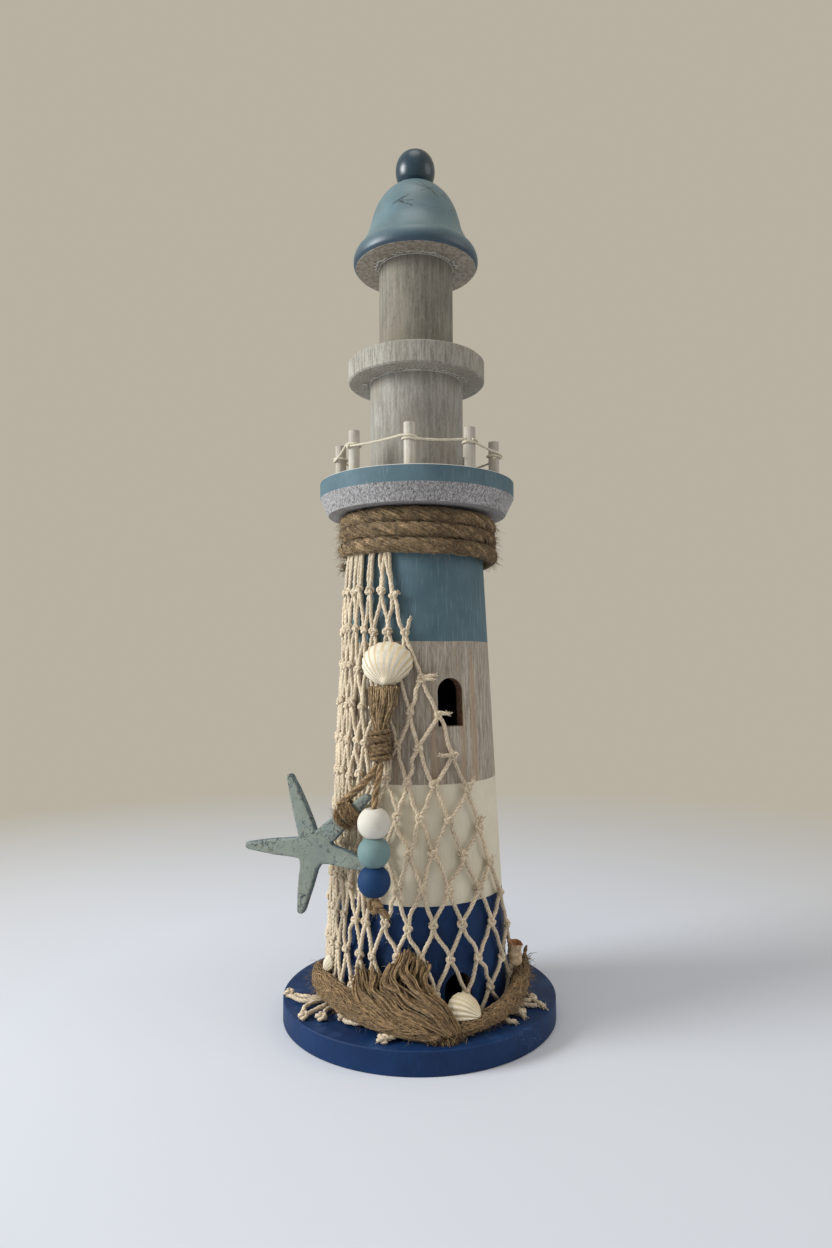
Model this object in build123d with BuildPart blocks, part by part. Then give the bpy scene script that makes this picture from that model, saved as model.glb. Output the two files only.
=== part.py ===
from build123d import *
import os
from math import atan, cos, degrees, dist, exp, hypot, log, radians, sin, sqrt, tan

os.makedirs("parts", exist_ok=True)

# Nautical lighthouse ornament, millimetres. Origin: centre of the base's underside, +Z up.
# The door and the window face -Y. A bearing is an angle in degrees about the tower, seen from
# above: 0 is the front (-Y), +90 is +X and -90 is -X.

# ---- Base and tower --------------------------------------------------------------------------
base_diameter = 150
base_thickness = 12
base_edge = 0.5
tower_foot_diameter = 98
tower_top_diameter = 72
tower_height = 263.6
tower_wall = 8
door_width = 15.3
door_height = 24.2
window_width = 14.5
window_height = 25.2
window_sill_height = 147.7  # above the base

# ---- Gallery, drums, roof --------------------------------------------------------------------
deck_diameter = 110
deck_band = 8.9  # straight upper edge
deck_taper = 9.25  # tapered lower edge
deck_under_diameter = 100.6
deck_edge = 0.5
deck_spigot_depth = 6
post_diameter = 6
post_height = 24
post_peg = 8
post_circle_diameter = 88
post_bearings = (15.5, 60.5, 112, 150.5, 189, 240.5, 285.5, 330.5)  # set by hand, so uneven
string_diameter = 1.2
string_height = 16  # above the deck
lower_drum_diameter = 53
lower_drum_height = 58.25
ring_diameter = 78
ring_thickness = 12.3
ring_edge = 0.8
upper_drum_diameter = 42.4
upper_drum_height = 55.2
tenon_diameter = 14
tenon_length = 5
roof_under_diameter = 69.2
roof_rim_diameter = 71.8
roof_ridge_diameter = 68.4  # where the rim's moulding meets the flare
roof_flare_diameter = 58.6
roof_waist_diameter = 52.6
roof_dome_diameter = 41.6
roof_crown_diameter = 15.5
roof_rim_rise = 5
roof_ridge_rise = 9.3
roof_flare_rise = 16.7
roof_waist_rise = 23.5
roof_dome_rise = 39.3
roof_height = 53.5
finial_diameter = 22.2
finial_height = 19
finial_foot_diameter = 14.5
finial_tenon_diameter = 6
finial_tenon_length = 8

# ---- Rope collar and net ---------------------------------------------------------------------
collar_height = 24.8
collar_turns = 3
collar_thickness = 6.7
cord_size = 2.2  # net cord
net_rows = 12
net_top = 231  # height of the first row of knots
net_first_drop = 20.2
net_drop_change = 0.155
net_start_bearing = -38.5  # first knot of the bias-cut edge
net_tight_pitch = 8  # bearing per mesh where the net is bunched
net_open_pitch = 12  # added to that where it is stretched
net_blend = 1.5  # meshes over which one passes into the other
net_gap = 0.02  # between neighbouring cords where a knot holds them
net_top_meshes = 6
net_edge_sag = 10  # how far the bias-cut edge comes to hang below its rows
net_sag_rows = 3  # rows over which most of that sag comes on

# ---- What hangs on the net -------------------------------------------------------------------
pendant_bearing = -45
scallop_width = 30
scallop_height = 23
scallop_rise = 8
scallop_groove_count = 9
shell_wall = 1.4
shell_fan = 130  # degrees over which the grooves fan out
groove_width = 1.1
groove_depth = 0.5
scallop_foot_height = 180.7
tassel_side = -1.3
tassel_top_width = 17.2
tassel_top_depth = 8.8
neck_diameter = 8.5
neck_top = 159.8
neck_bottom = 142.5
whipping_diameter = 11.6
whipping_turns = 5
star_centre = (-39.3, 97.2)  # right of the hanging line, above the table
star_arm_angles = (41.8, 110, 182, 258.4, 347)
star_arm_lengths = (43, 40, 40, 35, 36)
star_web_radius = 9.6
star_arm_width = 7.4  # at six tenths of an arm
star_tip_width = 3.6
star_thickness = 5.5
star_edge = 1.0
star_twine_diameter = 3.3
star_pivot_side = -3.2
star_wrap_diameter = 12.4
star_wrap_length = 13
star_wrap_from_centre = 27.5
star_wrap_turns = 3
star_wrap_core = 1  # radius left open along the arm's middle
star_twine_end_along = 3
star_twine_bend = 12
star_bend_side = 5.5
star_bend_drop = 9.5
end_blunting = 0.49  # share of a hung twine's radius that its upper end is cut back by
bead_diameter = 16.3
bead_height = 13.9
bead_bore = 3.4
bead_pitch = 14.1
white_bead_height = 114.3
bead_twine_diameter = 2.8
bead_pivot_side = 0
bead_pivot_distance = 54.3
bead_twine_bend = 12
end_knot_diameter = 8

# ---- What lies round the foot ----------------------------------------------------------------
garland_left_diameter = 118  # outside
garland_left_height = 21
garland_left_ends = (-172, -63)
garland_right_diameter = 121
garland_right_ends = (-2.5, 54)
garland_right_low = 4
garland_right_high = 24
fan_diameter = 142
fan_bearing = -38
fan_outline = ((-22, 0), (-18, 21), (-13, 28), (-3, 29.5), (7, 36), (12, 34.5), (19, 20), (27, 9), (30, 0))
fan_spread = ((-63, 57), (-21, 71), (-11, 71), (-5, 52))  # bearing and distance, seen from above
fan_tip_thickness = 4
front_shell_bearing = 3
front_shell_width = 17
front_shell_height = 16
front_shell_rise = 5
front_shell_lean = 25
front_shell_turn = 58
front_shell_out = 0.6  # beyond the roll that it leans on
front_shell_groove_count = 6
rear_shell_bearing = -86
rear_shell_width = 12
rear_shell_height = 10
rear_shell_rise = 4
rear_shell_groove_count = 4
whelk_bearing = 41
whelk_mouth_diameter = 8
whelk_waist_diameter = 5.6
whelk_foot_diameter = 6.6
whelk_length = 13
whelk_bore_depth = 8.5
tail_diameter = 2.4
tail_length = 9
tail_sides = 8
tail_bearings = (-105, -91, -80, -48, 21, 29, 41)

# ---- Clearances ------------------------------------------------------------------------------
fit = 0.15  # radial, of a glued tenon or peg in its hole
seat = 0.3  # between a soft or hung piece and what carries it
running = 0.4  # between pieces that move past each other

# ---- Levels and radii that follow ------------------------------------------------------------
tower_top = base_thickness + tower_height
deck_top = tower_top + deck_taper + deck_band
ring_bottom = deck_top + lower_drum_height
ring_top = ring_bottom + ring_thickness
roof_bottom = ring_top + upper_drum_height
roof_top = roof_bottom + roof_height
collar_bottom = tower_top - collar_height


def tower_radius(height):
    """Outside radius of the tapered tower at a height above the table."""
    share = (height - base_thickness) / tower_height
    return (tower_foot_diameter + (tower_top_diameter - tower_foot_diameter) * share) / 2


def facing(bearing, distance, height):
    """Upright plane that faces away from the tower's axis: local x to the right, y up."""
    b = radians(bearing)
    return Plane(origin=(distance * sin(b), -distance * cos(b), height),
                 x_dir=(cos(b), sin(b), 0), z_dir=(sin(b), -cos(b), 0))


def through_axis(bearing):
    """Upright plane through the tower's axis: local x is the radius, y the height."""
    b = radians(bearing)
    return Plane(origin=(0, 0, 0), x_dir=(sin(b), -cos(b), 0), z_dir=(-cos(b), -sin(b), 0))


def save(part, name):
    part.label = name
    export_step(part, f"parts/{name}.step")


def rope_outline(bottom, top, inner_bottom, inner_top, thickness, turns, flats=False):
    """Closed outline of rope turns stacked on a straight or tapered core, x out and y up.

    The turns are arcs, or three flats each."""
    def core(height):
        return inner_bottom + (inner_top - inner_bottom) * (height - bottom) / (top - bottom)

    rise = (top - bottom) / turns
    groove = thickness * 0.72
    Polyline((core(top) + groove, top), (core(top), top), (core(bottom), bottom), (core(bottom) + groove, bottom))
    for turn in range(turns):
        low, high = bottom + turn * rise, bottom + (turn + 1) * rise
        middle = (low + high) / 2
        if flats:
            Polyline((core(low) + groove, low), (core(middle) + thickness, middle - rise * 0.2),
                     (core(middle) + thickness, middle + rise * 0.2), (core(high) + groove, high))
        else:
            ThreePointArc((core(low) + groove, low), (core(middle) + thickness, middle),
                          (core(high) + groove, high))


# ---- Base and tower --------------------------------------------------------------------------
with BuildPart() as base_plate:
    Cylinder(base_diameter / 2, base_thickness, align=(Align.CENTER, Align.CENTER, Align.MIN))
    chamfer(base_plate.edges().filter_by(GeomType.CIRCLE), base_edge)
save(base_plate.part, "base_plate")

with BuildPart() as tower_shell:
    with BuildSketch(through_axis(0)):
        with BuildLine():
            Polyline((tower_foot_diameter / 2, base_thickness), (tower_top_diameter / 2, tower_top),
                     (tower_top_diameter / 2 - tower_wall, tower_top),
                     (tower_foot_diameter / 2 - tower_wall, base_thickness), close=True)
        make_face()
    revolve(axis=Axis.Z)
    for sill, width, height in ((base_thickness, door_width, door_height),
                                (base_thickness + window_sill_height, window_width, window_height)):
        with BuildSketch(facing(0, 0, sill)):
            Rectangle(width, height - width / 2, align=(Align.CENTER, Align.MIN))
            with Locations((0, height - width / 2)):
                Circle(width / 2)
        extrude(amount=tower_foot_diameter, mode=Mode.SUBTRACT)
save(tower_shell.part, "tower_shell")

# ---- Gallery deck, posts and string ----------------------------------------------------------
deck_spigot_radius = tower_top_diameter / 2 - tower_wall - fit
post_spots = [(post_circle_diameter / 2 * sin(radians(bearing)), -post_circle_diameter / 2 * cos(radians(bearing)))
              for bearing in post_bearings]

with BuildPart() as gallery_deck:
    with BuildSketch(through_axis(0)):
        with BuildLine():
            Polyline((0, tower_top - deck_spigot_depth), (deck_spigot_radius, tower_top - deck_spigot_depth),
                     (deck_spigot_radius, tower_top), (deck_under_diameter / 2, tower_top),
                     (deck_diameter / 2, tower_top + deck_taper), (deck_diameter / 2, deck_top),
                     (0, deck_top), close=True)
        make_face()
    revolve(axis=Axis.Z)
    chamfer(gallery_deck.edges().filter_by(GeomType.CIRCLE).group_by(Axis.Z)[-1], deck_edge)
    with Locations((0, 0, deck_top)):
        Hole(tenon_diameter / 2 + fit, depth=tenon_length + fit)
    with Locations(*[(x, y, deck_top) for x, y in post_spots]):
        Hole(post_diameter / 2 + fit, depth=post_peg + fit)
save(gallery_deck.part, "gallery_deck")

for number, spot in enumerate(post_spots):
    with BuildPart() as rail_post:
        with BuildSketch(Plane.XY.offset(deck_top - post_peg)):
            with Locations(spot):
                Circle(post_diameter / 2)
        extrude(amount=post_peg + post_height)
    save(rail_post.part, f"rail_post_{number + 1}")

with BuildPart() as rail_string:
    inside = post_diameter / 2 + fit
    with BuildSketch(Plane.XY.offset(deck_top + string_height - string_diameter / 2)):
        Polygon(*post_spots, align=None)
        offset(amount=inside + string_diameter, kind=Kind.ARC)
        with BuildSketch(mode=Mode.SUBTRACT):
            Polygon(*post_spots, align=None)
            offset(amount=inside, kind=Kind.ARC)
    extrude(amount=string_diameter)
save(rail_string.part, "rail_string")

# ---- Turned pieces above the gallery ---------------------------------------------------------
tenon_radius = tenon_diameter / 2

for name, radius, bottom, top in (("lower_drum", lower_drum_diameter / 2, deck_top, ring_bottom),
                                  ("upper_drum", upper_drum_diameter / 2, ring_top, roof_bottom)):
    with BuildPart() as drum:
        with BuildSketch(through_axis(0)):
            with BuildLine():
                Polyline((0, bottom - tenon_length), (tenon_radius, bottom - tenon_length),
                         (tenon_radius, bottom), (radius, bottom), (radius, top),
                         (tenon_radius, top), (tenon_radius, top + tenon_length),
                         (0, top + tenon_length), close=True)
            make_face()
        revolve(axis=Axis.Z)
    save(drum.part, name)

with BuildPart() as upper_ring:
    with Locations((0, 0, ring_bottom)):
        Cylinder(ring_diameter / 2, ring_thickness, align=(Align.CENTER, Align.CENTER, Align.MIN))
    chamfer(upper_ring.edges().filter_by(GeomType.CIRCLE), ring_edge)
    for level, away in ((ring_bottom, 1), (ring_top, -1)):
        with BuildSketch(Plane.XY.offset(level)):
            Circle(tenon_radius + fit)
        extrude(amount=away * (tenon_length + fit), mode=Mode.SUBTRACT)
save(upper_ring.part, "upper_ring")

with BuildPart() as roof_dome:
    with BuildSketch(through_axis(0)):
        with BuildLine():
            under = (roof_under_diameter / 2, roof_bottom)
            ridge = (roof_ridge_diameter / 2, roof_bottom + roof_ridge_rise)
            flare = (roof_flare_diameter / 2, roof_bottom + roof_flare_rise)
            waist = (roof_waist_diameter / 2, roof_bottom + roof_waist_rise)
            dome = (roof_dome_diameter / 2, roof_bottom + roof_dome_rise)
            crown = (roof_crown_diameter / 2, roof_top)
            Line((0, roof_bottom), under)
            ThreePointArc(under, (roof_rim_diameter / 2, roof_bottom + roof_rim_rise), ridge)
            Spline(ridge, flare, waist, dome, crown, tangents=((-1, 1), (-1, 0.12)))
            Line(crown, (0, roof_top))
            Line((0, roof_top), (0, roof_bottom))
        make_face()
    revolve(axis=Axis.Z)
    with BuildSketch(Plane.XY.offset(roof_bottom)):
        Circle(tenon_radius + fit)
    extrude(amount=tenon_length + fit, mode=Mode.SUBTRACT)
    with BuildSketch(Plane.XY.offset(roof_top)):
        Circle(finial_tenon_diameter / 2 + fit)
    extrude(amount=-finial_tenon_length - fit, mode=Mode.SUBTRACT)
save(roof_dome.part, "roof_dome")

with BuildPart() as finial:
    with BuildSketch(through_axis(0)):
        with BuildLine():
            foot = (finial_foot_diameter / 2, roof_top)
            belly = (finial_diameter / 2, roof_top + finial_height * 0.4)
            tip = (0, roof_top + finial_height)
            Spline(foot, belly, tip, tangents=((1, 0.9), (-1, 0)))
            Polyline(tip, (0, roof_top - finial_tenon_length),
                     (finial_tenon_diameter / 2, roof_top - finial_tenon_length),
                     (finial_tenon_diameter / 2, roof_top), foot)
        make_face()
    revolve(axis=Axis.Z)
save(finial.part, "finial")

# ---- Rope collar -----------------------------------------------------------------------------
with BuildPart() as rope_collar:
    with BuildSketch(through_axis(0)):
        with BuildLine():
            rope_outline(collar_bottom, tower_top - seat, tower_radius(collar_bottom) + fit,
                         tower_radius(tower_top) + fit, collar_thickness, collar_turns, flats=True)
        make_face()
    revolve(axis=Axis.Z)
save(rope_collar.part, "rope_collar")


# ---- Net -------------------------------------------------------------------------------------
# A diamond mesh whose cords zigzag down the tapered tower. Each zigzag lies in the flat facet
# between two lines that run up the tower, half a mesh apart, and meets its neighbours at the knots.
def net_bearing(mesh):
    """Bearing of a column of knots, counted in meshes from the top of the bias-cut edge."""
    stretch = log(1 + exp(mesh / net_blend)) - log(2)
    return net_start_bearing + net_tight_pitch * mesh + net_open_pitch * net_blend * stretch


def net_height(row):
    """Height of a row of knots. The rows beyond the first and last are where the cords end."""
    if row < 0:
        return collar_bottom - seat
    if row >= net_rows:
        return base_thickness + seat
    return net_top - net_first_drop * row + net_drop_change * row * row


def knot_height(row, line):
    """Height of a knot on a half-mesh line. The bias-cut edge hangs lower, the more so further down."""
    if row < 0 or row >= net_rows:
        return net_height(row)
    return net_height(row) - net_edge_sag * (1 - exp(-row / net_sag_rows)) * exp((line - row) / 2)


def net_radius(height):
    """Radius of the middle of the net's cords."""
    return tower_radius(height) + seat + cord_size / 2


def net_zigzag(band):
    """One cord's zigzag, between the half-mesh lines band and band + 1."""
    left, right = net_bearing(band / 2), net_bearing((band + 1) / 2)
    half = radians(right - left) / 2
    foot = net_height(net_rows)
    lean = atan((net_radius(foot) - net_radius(tower_top)) / (tower_top - foot) * cos(half))
    middle = facing((left + right) / 2, net_radius(foot) * cos(half), foot)
    facet = Plane(middle.origin, x_dir=middle.x_dir, z_dir=middle.z_dir * cos(lean) + Vector(0, 0, sin(lean)))
    first_row = -1 if -2 * net_top_meshes <= band < 0 else max(band, -2 * net_top_meshes - 1 - band)
    wide = cord_size * 0.55
    down, up = [], []
    for row in range(first_row, net_rows + 1):
        side = -1 if (band - row) % 2 == 0 else 1
        height = knot_height(row, band if side < 0 else band + 1)
        x = side * net_radius(height) * sin(half)
        y = (height - foot) / cos(lean)
        down.append((x - wide, y))
        up.insert(0, (x + wide, y))
    room = cord_size / 2 * tan(half) + net_gap
    top = net_height(-1)
    with BuildSketch(facet, mode=Mode.PRIVATE) as zigzag:
        with BuildLine():
            Polyline(*down, *up, close=True)
        make_face()
        with BuildLine():
            foot_x = net_radius(foot) * sin(half) - room
            top_x = net_radius(top) * sin(half) - room
            top_y = (top - foot) / cos(lean)
            Polyline((-foot_x, 0), (foot_x, 0), (top_x, top_y), (-top_x, top_y), close=True)
        make_face(mode=Mode.INTERSECT)
    return extrude(zigzag.sketch, amount=cord_size / 2, both=True, mode=Mode.PRIVATE)


with BuildPart() as net:
    add([net_zigzag(band) for band in range(-2 * net_top_meshes - net_rows, net_rows)])
save(net.part, "net")


# ---- Shells ----------------------------------------------------------------------------------
def hollow_ball(centre, plane, outside, inside):
    with BuildPart() as ball:
        with BuildSketch(Plane(centre, x_dir=plane.z_dir, z_dir=plane.x_dir)):
            Circle(outside)
            Circle(inside, mode=Mode.SUBTRACT)
            Rectangle(outside, 2 * outside, align=(Align.MIN, Align.CENTER), mode=Mode.INTERSECT)
        revolve(axis=Axis(centre, plane.y_dir))
    return ball.part


def cockle(plane, width, height, rise, grooves):
    """Ribbed half shell, hollow behind, with its beak at the plane's origin and its back on it."""
    middle = height * 0.53
    drop = rise * 0.72
    ball = ((width / 2) ** 2 + drop * drop) / (2 * drop)
    centre = plane.from_local_coords((0, middle, rise - ball))
    with BuildPart() as grooves_cut:
        with BuildSketch(plane):
            reach = height * 1.3
            half = groove_width / 2 / reach
            for number in range(grooves):
                turn = radians(shell_fan * ((number + 0.5) / grooves - 0.5))
                with BuildLine():
                    Polyline((reach * 0.16 * sin(turn), reach * 0.16 * cos(turn)),
                             (reach * sin(turn - half), reach * cos(turn - half)),
                             (reach * sin(turn + half), reach * cos(turn + half)), close=True)
                make_face()
        extrude(amount=rise * 2)
        add(hollow_ball(centre, plane, ball + groove_depth, ball - groove_depth), mode=Mode.INTERSECT)
    with BuildPart() as shell:
        with BuildSketch(plane):
            with Locations((0, middle)):
                Ellipse(width / 2, height - middle)
            with BuildLine():
                Polyline((-width * 0.12, 0), (width * 0.12, 0), (width * 0.42, middle * 0.75),
                         (-width * 0.42, middle * 0.75), close=True)
            make_face()
        extrude(amount=rise)
        add(hollow_ball(centre, plane, ball, ball - shell_wall), mode=Mode.INTERSECT)
        add(grooves_cut.part, mode=Mode.SUBTRACT)
    return shell.part


def on_net(bearing, height):
    """Plane that lies on the net, leaning with the tower: local x to the right, y up."""
    slope = (tower_radius(0) - tower_radius(tower_height)) / tower_height
    outside = net_radius(height) + cord_size / 2 + seat
    return Plane(facing(bearing, outside, height) * Rot(-degrees(atan(slope)), 0, 0))


save(cockle(on_net(pendant_bearing, scallop_foot_height), scallop_width, scallop_height, scallop_rise,
            scallop_groove_count), "net_shell")


# ---- Tassel and its whipping -----------------------------------------------------------------
def upright(bearing, side, distance):
    """Upright plane on a line of its own: local x away from the tower's axis, y the height."""
    flat = facing(bearing, distance, 0)
    return Plane(flat.origin + flat.x_dir * side, x_dir=flat.z_dir, z_dir=flat.x_dir * -1)


neck_distance = net_radius(neck_bottom) + cord_size / 2 + seat + whipping_diameter / 2
neck_line = upright(pendant_bearing, tassel_side, neck_distance)
neck_axis = Axis(neck_line.origin, (0, 0, 1))
tassel_top = scallop_foot_height - seat
tassel_top_distance = net_radius(tassel_top) + cord_size / 2 + seat + tassel_top_depth / 2

with BuildPart() as jute_tassel:
    top_line = upright(pendant_bearing, tassel_side, tassel_top_distance)
    across = facing(pendant_bearing, 0, 0).x_dir
    with BuildSketch(Plane(top_line.origin + Vector(0, 0, tassel_top), x_dir=across, z_dir=(0, 0, 1))):
        Ellipse(tassel_top_width / 2, tassel_top_depth / 2)
    with BuildSketch(Plane(neck_line.origin + Vector(0, 0, neck_top), x_dir=across, z_dir=(0, 0, 1))):
        Circle(neck_diameter / 2)
    loft()
    with BuildSketch(Plane(neck_line.origin + Vector(0, 0, neck_bottom), x_dir=across, z_dir=(0, 0, 1))):
        Circle(neck_diameter / 2)
    extrude(amount=neck_top - neck_bottom)
save(jute_tassel.part, "jute_tassel")

with BuildPart() as tassel_whipping:
    with BuildSketch(neck_line):
        with BuildLine():
            bore = neck_diameter / 2 + fit
            rope_outline(neck_bottom, neck_top - seat, bore, bore, whipping_diameter / 2 - bore,
                         whipping_turns)
        make_face()
    revolve(axis=neck_axis)
save(tassel_whipping.part, "tassel_whipping")

# ---- Starfish on its twine -------------------------------------------------------------------
arm_angle = star_arm_angles[0]
wrap_end = star_wrap_from_centre + star_wrap_length / 2
wrap_end_side = star_centre[0] + wrap_end * cos(radians(arm_angle))
wrap_end_back = net_radius(star_centre[1]) + cord_size / 2 + seat
star_distance = sqrt(wrap_end_back ** 2 - wrap_end_side ** 2) + star_wrap_diameter / 2
star_face = facing(pendant_bearing, star_distance, 0)
arms = list(zip(star_arm_angles, star_arm_lengths))


def star_point(angle, length, side=0):
    """Point on the star's face, along an arm and to its left."""
    turn = radians(angle)
    return (star_centre[0] + length * cos(turn) - side * sin(turn),
            star_centre[1] + length * sin(turn) + side * cos(turn))


def pivot_level(diameter):
    """Height of the point that a twine swings about, close under the tassel's neck."""
    return neck_bottom - seat - diameter / 2 * hypot(1, 1 - end_blunting)


def hung_twine(plane, pivot, bend, foot, diameter, bend_radius):
    """Twine that swings about a pivot, its blunt upper end running on by half its diameter."""
    run = diameter / 2 / dist(pivot, bend)
    top = (pivot[0] + (pivot[0] - bend[0]) * run, pivot[1] + (pivot[1] - bend[1]) * run)
    with BuildPart() as twine:
        with BuildLine(plane) as route:
            FilletPolyline(top, bend, foot, radius=bend_radius)
        with BuildSketch(Plane(route.line @ 0, z_dir=route.line % 0)):
            Circle(diameter / 2)
        sweep(path=route.line)
        chamfer(twine.edges().filter_by(GeomType.CIRCLE).sort_by(Axis.Z)[-1], diameter / 2 * end_blunting)
    return twine.part


with BuildPart() as starfish:
    with BuildSketch(star_face):
        with BuildLine():
            outline = []
            for (angle, length), (next_angle, _) in zip(arms, arms[1:] + arms[:1]):
                web_angle = angle + (next_angle - angle) % 360 / 2
                outline += [star_point(angle, length * 0.6, -star_arm_width / 2),
                            star_point(angle, length, -star_tip_width / 2),
                            star_point(angle, length, star_tip_width / 2),
                            star_point(angle, length * 0.6, star_arm_width / 2),
                            star_point(web_angle, star_web_radius)]
            Polyline(*outline, close=True)
        make_face()
    extrude(amount=star_thickness / 2, both=True)
    chamfer(starfish.faces().filter_by(Plane(star_face.origin, z_dir=star_face.z_dir)).edges(), star_edge)
save(starfish.part, "starfish")

with BuildPart() as star_wrap:
    wrap_foot = star_point(arm_angle, star_wrap_from_centre - star_wrap_length / 2)
    arm_way = star_face.x_dir * cos(radians(arm_angle)) + Vector(0, 0, sin(radians(arm_angle)))
    wrap_foot_at = star_face.origin + star_face.x_dir * wrap_foot[0] + Vector(0, 0, wrap_foot[1])
    with BuildSketch(Plane(wrap_foot_at, x_dir=star_face.z_dir, z_dir=star_face.z_dir.cross(arm_way))):
        with BuildLine():
            rope_outline(0, star_wrap_length, star_wrap_core, star_wrap_core,
                         star_wrap_diameter / 2 - star_wrap_core, star_wrap_turns, flats=True)
        make_face()
    revolve(axis=Axis(wrap_foot_at, arm_way))
    add(starfish.part, mode=Mode.SUBTRACT)
save(star_wrap.part, "star_wrap")

star_off_arm = star_wrap_diameter / 2 + star_twine_diameter / 2 + 3 * seat
star_pivot = (star_pivot_side, pivot_level(star_twine_diameter))
star_twine = hung_twine(star_face, star_pivot, (star_pivot[0] - star_bend_side, star_pivot[1] - star_bend_drop),
                        star_point(arm_angle, star_wrap_from_centre + star_twine_end_along, star_off_arm),
                        star_twine_diameter, star_twine_bend)
save(star_twine, "star_twine")
print("star twine bend radius", star_twine_bend)

# ---- Beads on their twine --------------------------------------------------------------------
bead_distance = star_distance + star_thickness / 2 + running + bead_diameter / 2
bead_line = upright(pendant_bearing, bead_pivot_side, bead_distance)
bead_axis = Axis(bead_line.origin, (0, 0, 1))
bead_heights = [white_bead_height - bead_pitch * number for number in range(3)]
knot_height = bead_heights[-1] - bead_height / 2 - seat - end_knot_diameter / 2

with BuildPart() as bead_twine:
    bend = (bead_distance, bead_heights[0] + bead_height / 2 + bead_twine_bend * 0.3)
    foot = (bead_distance, knot_height)
    add(hung_twine(upright(pendant_bearing, bead_pivot_side, 0),
                   (bead_pivot_distance, pivot_level(bead_twine_diameter)), bend, foot,
                   bead_twine_diameter, bead_twine_bend))
    with Locations(bead_line.origin + Vector(0, 0, knot_height)):
        Sphere(end_knot_diameter / 2)
save(bead_twine.part, "bead_twine")
print("bead twine bend radius", bead_twine_bend)

for name, height in zip(("bead_white", "bead_aqua", "bead_navy"), bead_heights):
    with BuildPart() as bead:
        with BuildSketch(Plane(bead_line.origin + Vector(0, 0, height), x_dir=bead_line.x_dir,
                               z_dir=bead_line.z_dir)):
            Circle(bead_diameter / 2)
            Rectangle(bead_diameter, bead_height, mode=Mode.INTERSECT)
            with Locations((bead_bore / 2, 0)):
                Rectangle(bead_diameter, bead_height, align=(Align.MIN, Align.CENTER), mode=Mode.INTERSECT)
        revolve(axis=bead_axis)
    save(bead.part, name)

# ---- Jute round the foot ---------------------------------------------------------------------
garland_inside = net_radius(base_thickness) + cord_size / 2 + seat
garland_left_thickness = garland_left_diameter / 2 - garland_inside
garland_left_radius = garland_inside + garland_left_thickness / 2
garland_right_thickness = garland_right_diameter / 2 - garland_inside
garland_right_radius = garland_inside + garland_right_thickness / 2

with BuildPart() as garland_left:
    start, end = garland_left_ends
    with BuildSketch(through_axis(start)):
        with Locations((garland_left_radius, base_thickness + garland_left_height / 2)):
            Ellipse(garland_left_thickness / 2, garland_left_height / 2)
    revolve(axis=Axis.Z, revolution_arc=end - start)
save(garland_left.part, "garland_left")

garland_right_start, garland_right_end = garland_right_ends
garland_right_middle = (garland_right_start + garland_right_end) / 2
garland_right_reach = garland_right_diameter / 2 * sin(radians(garland_right_end - garland_right_start) / 2) + seat


def garland_right_top(bearing, distance):
    """Height of the right roll's top, which rises evenly from one end to the other."""
    share = 0.5 + distance * sin(radians(bearing - garland_right_middle)) / garland_right_reach / 2
    return base_thickness + garland_right_low + (garland_right_high - garland_right_low) * share


with BuildPart() as garland_right:
    with BuildSketch(through_axis(garland_right_start)):
        with Locations((garland_right_radius, base_thickness + garland_right_high / 2)):
            Ellipse(garland_right_thickness / 2, garland_right_high / 2)
    revolve(axis=Axis.Z, revolution_arc=garland_right_end - garland_right_start)
    with BuildSketch(facing(garland_right_middle, 0, base_thickness)):
        with BuildLine():
            Polyline((-garland_right_reach, 0), (garland_right_reach, 0),
                     (garland_right_reach, garland_right_high), (-garland_right_reach, garland_right_low),
                     close=True)
        make_face()
    extrude(amount=garland_right_diameter, mode=Mode.INTERSECT)
save(garland_right.part, "garland_right")

with BuildPart() as garland_fan:
    fan_top = max(height for _, height in fan_outline)
    with BuildSketch(through_axis(0)):
        with BuildLine():
            Polyline((garland_inside, base_thickness), (fan_diameter / 2, base_thickness),
                     (fan_diameter / 2, base_thickness + fan_tip_thickness),
                     (garland_inside + fan_tip_thickness, base_thickness + fan_top),
                     (garland_inside, base_thickness + fan_top), close=True)
        make_face()
    revolve(axis=Axis.Z)
    with BuildSketch(facing(fan_bearing, 0, base_thickness)):
        with BuildLine():
            Polyline(*fan_outline, close=True)
        make_face()
    extrude(amount=fan_diameter, mode=Mode.INTERSECT)
    with BuildSketch(Plane.XY.offset(base_thickness)):
        with BuildLine():
            Polyline((0, 0), *[(distance * sin(radians(bearing)), -distance * cos(radians(bearing)))
                               for bearing, distance in fan_spread], close=True)
        make_face()
    extrude(amount=fan_top, mode=Mode.INTERSECT)
save(garland_fan.part, "garland_fan")

# ---- Shells and cord ends round the foot -----------------------------------------------------
front_shell_distance = garland_right_diameter / 2 + front_shell_out
front_shell_level = garland_right_top(front_shell_bearing, front_shell_distance) + seat
front_shell_place = Plane(facing(front_shell_bearing, front_shell_distance, front_shell_level)
                          * Rot(-front_shell_lean, 0, 0) * Rot(0, 0, front_shell_turn))
save(cockle(front_shell_place, front_shell_width, front_shell_height, front_shell_rise, front_shell_groove_count),
     "front_shell")

rear_shell_place = facing(rear_shell_bearing, garland_left_radius - rear_shell_rise / 2,
                          base_thickness + garland_left_height + seat)
save(cockle(rear_shell_place, rear_shell_width, rear_shell_height, rear_shell_rise, rear_shell_groove_count),
     "rear_shell")

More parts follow.
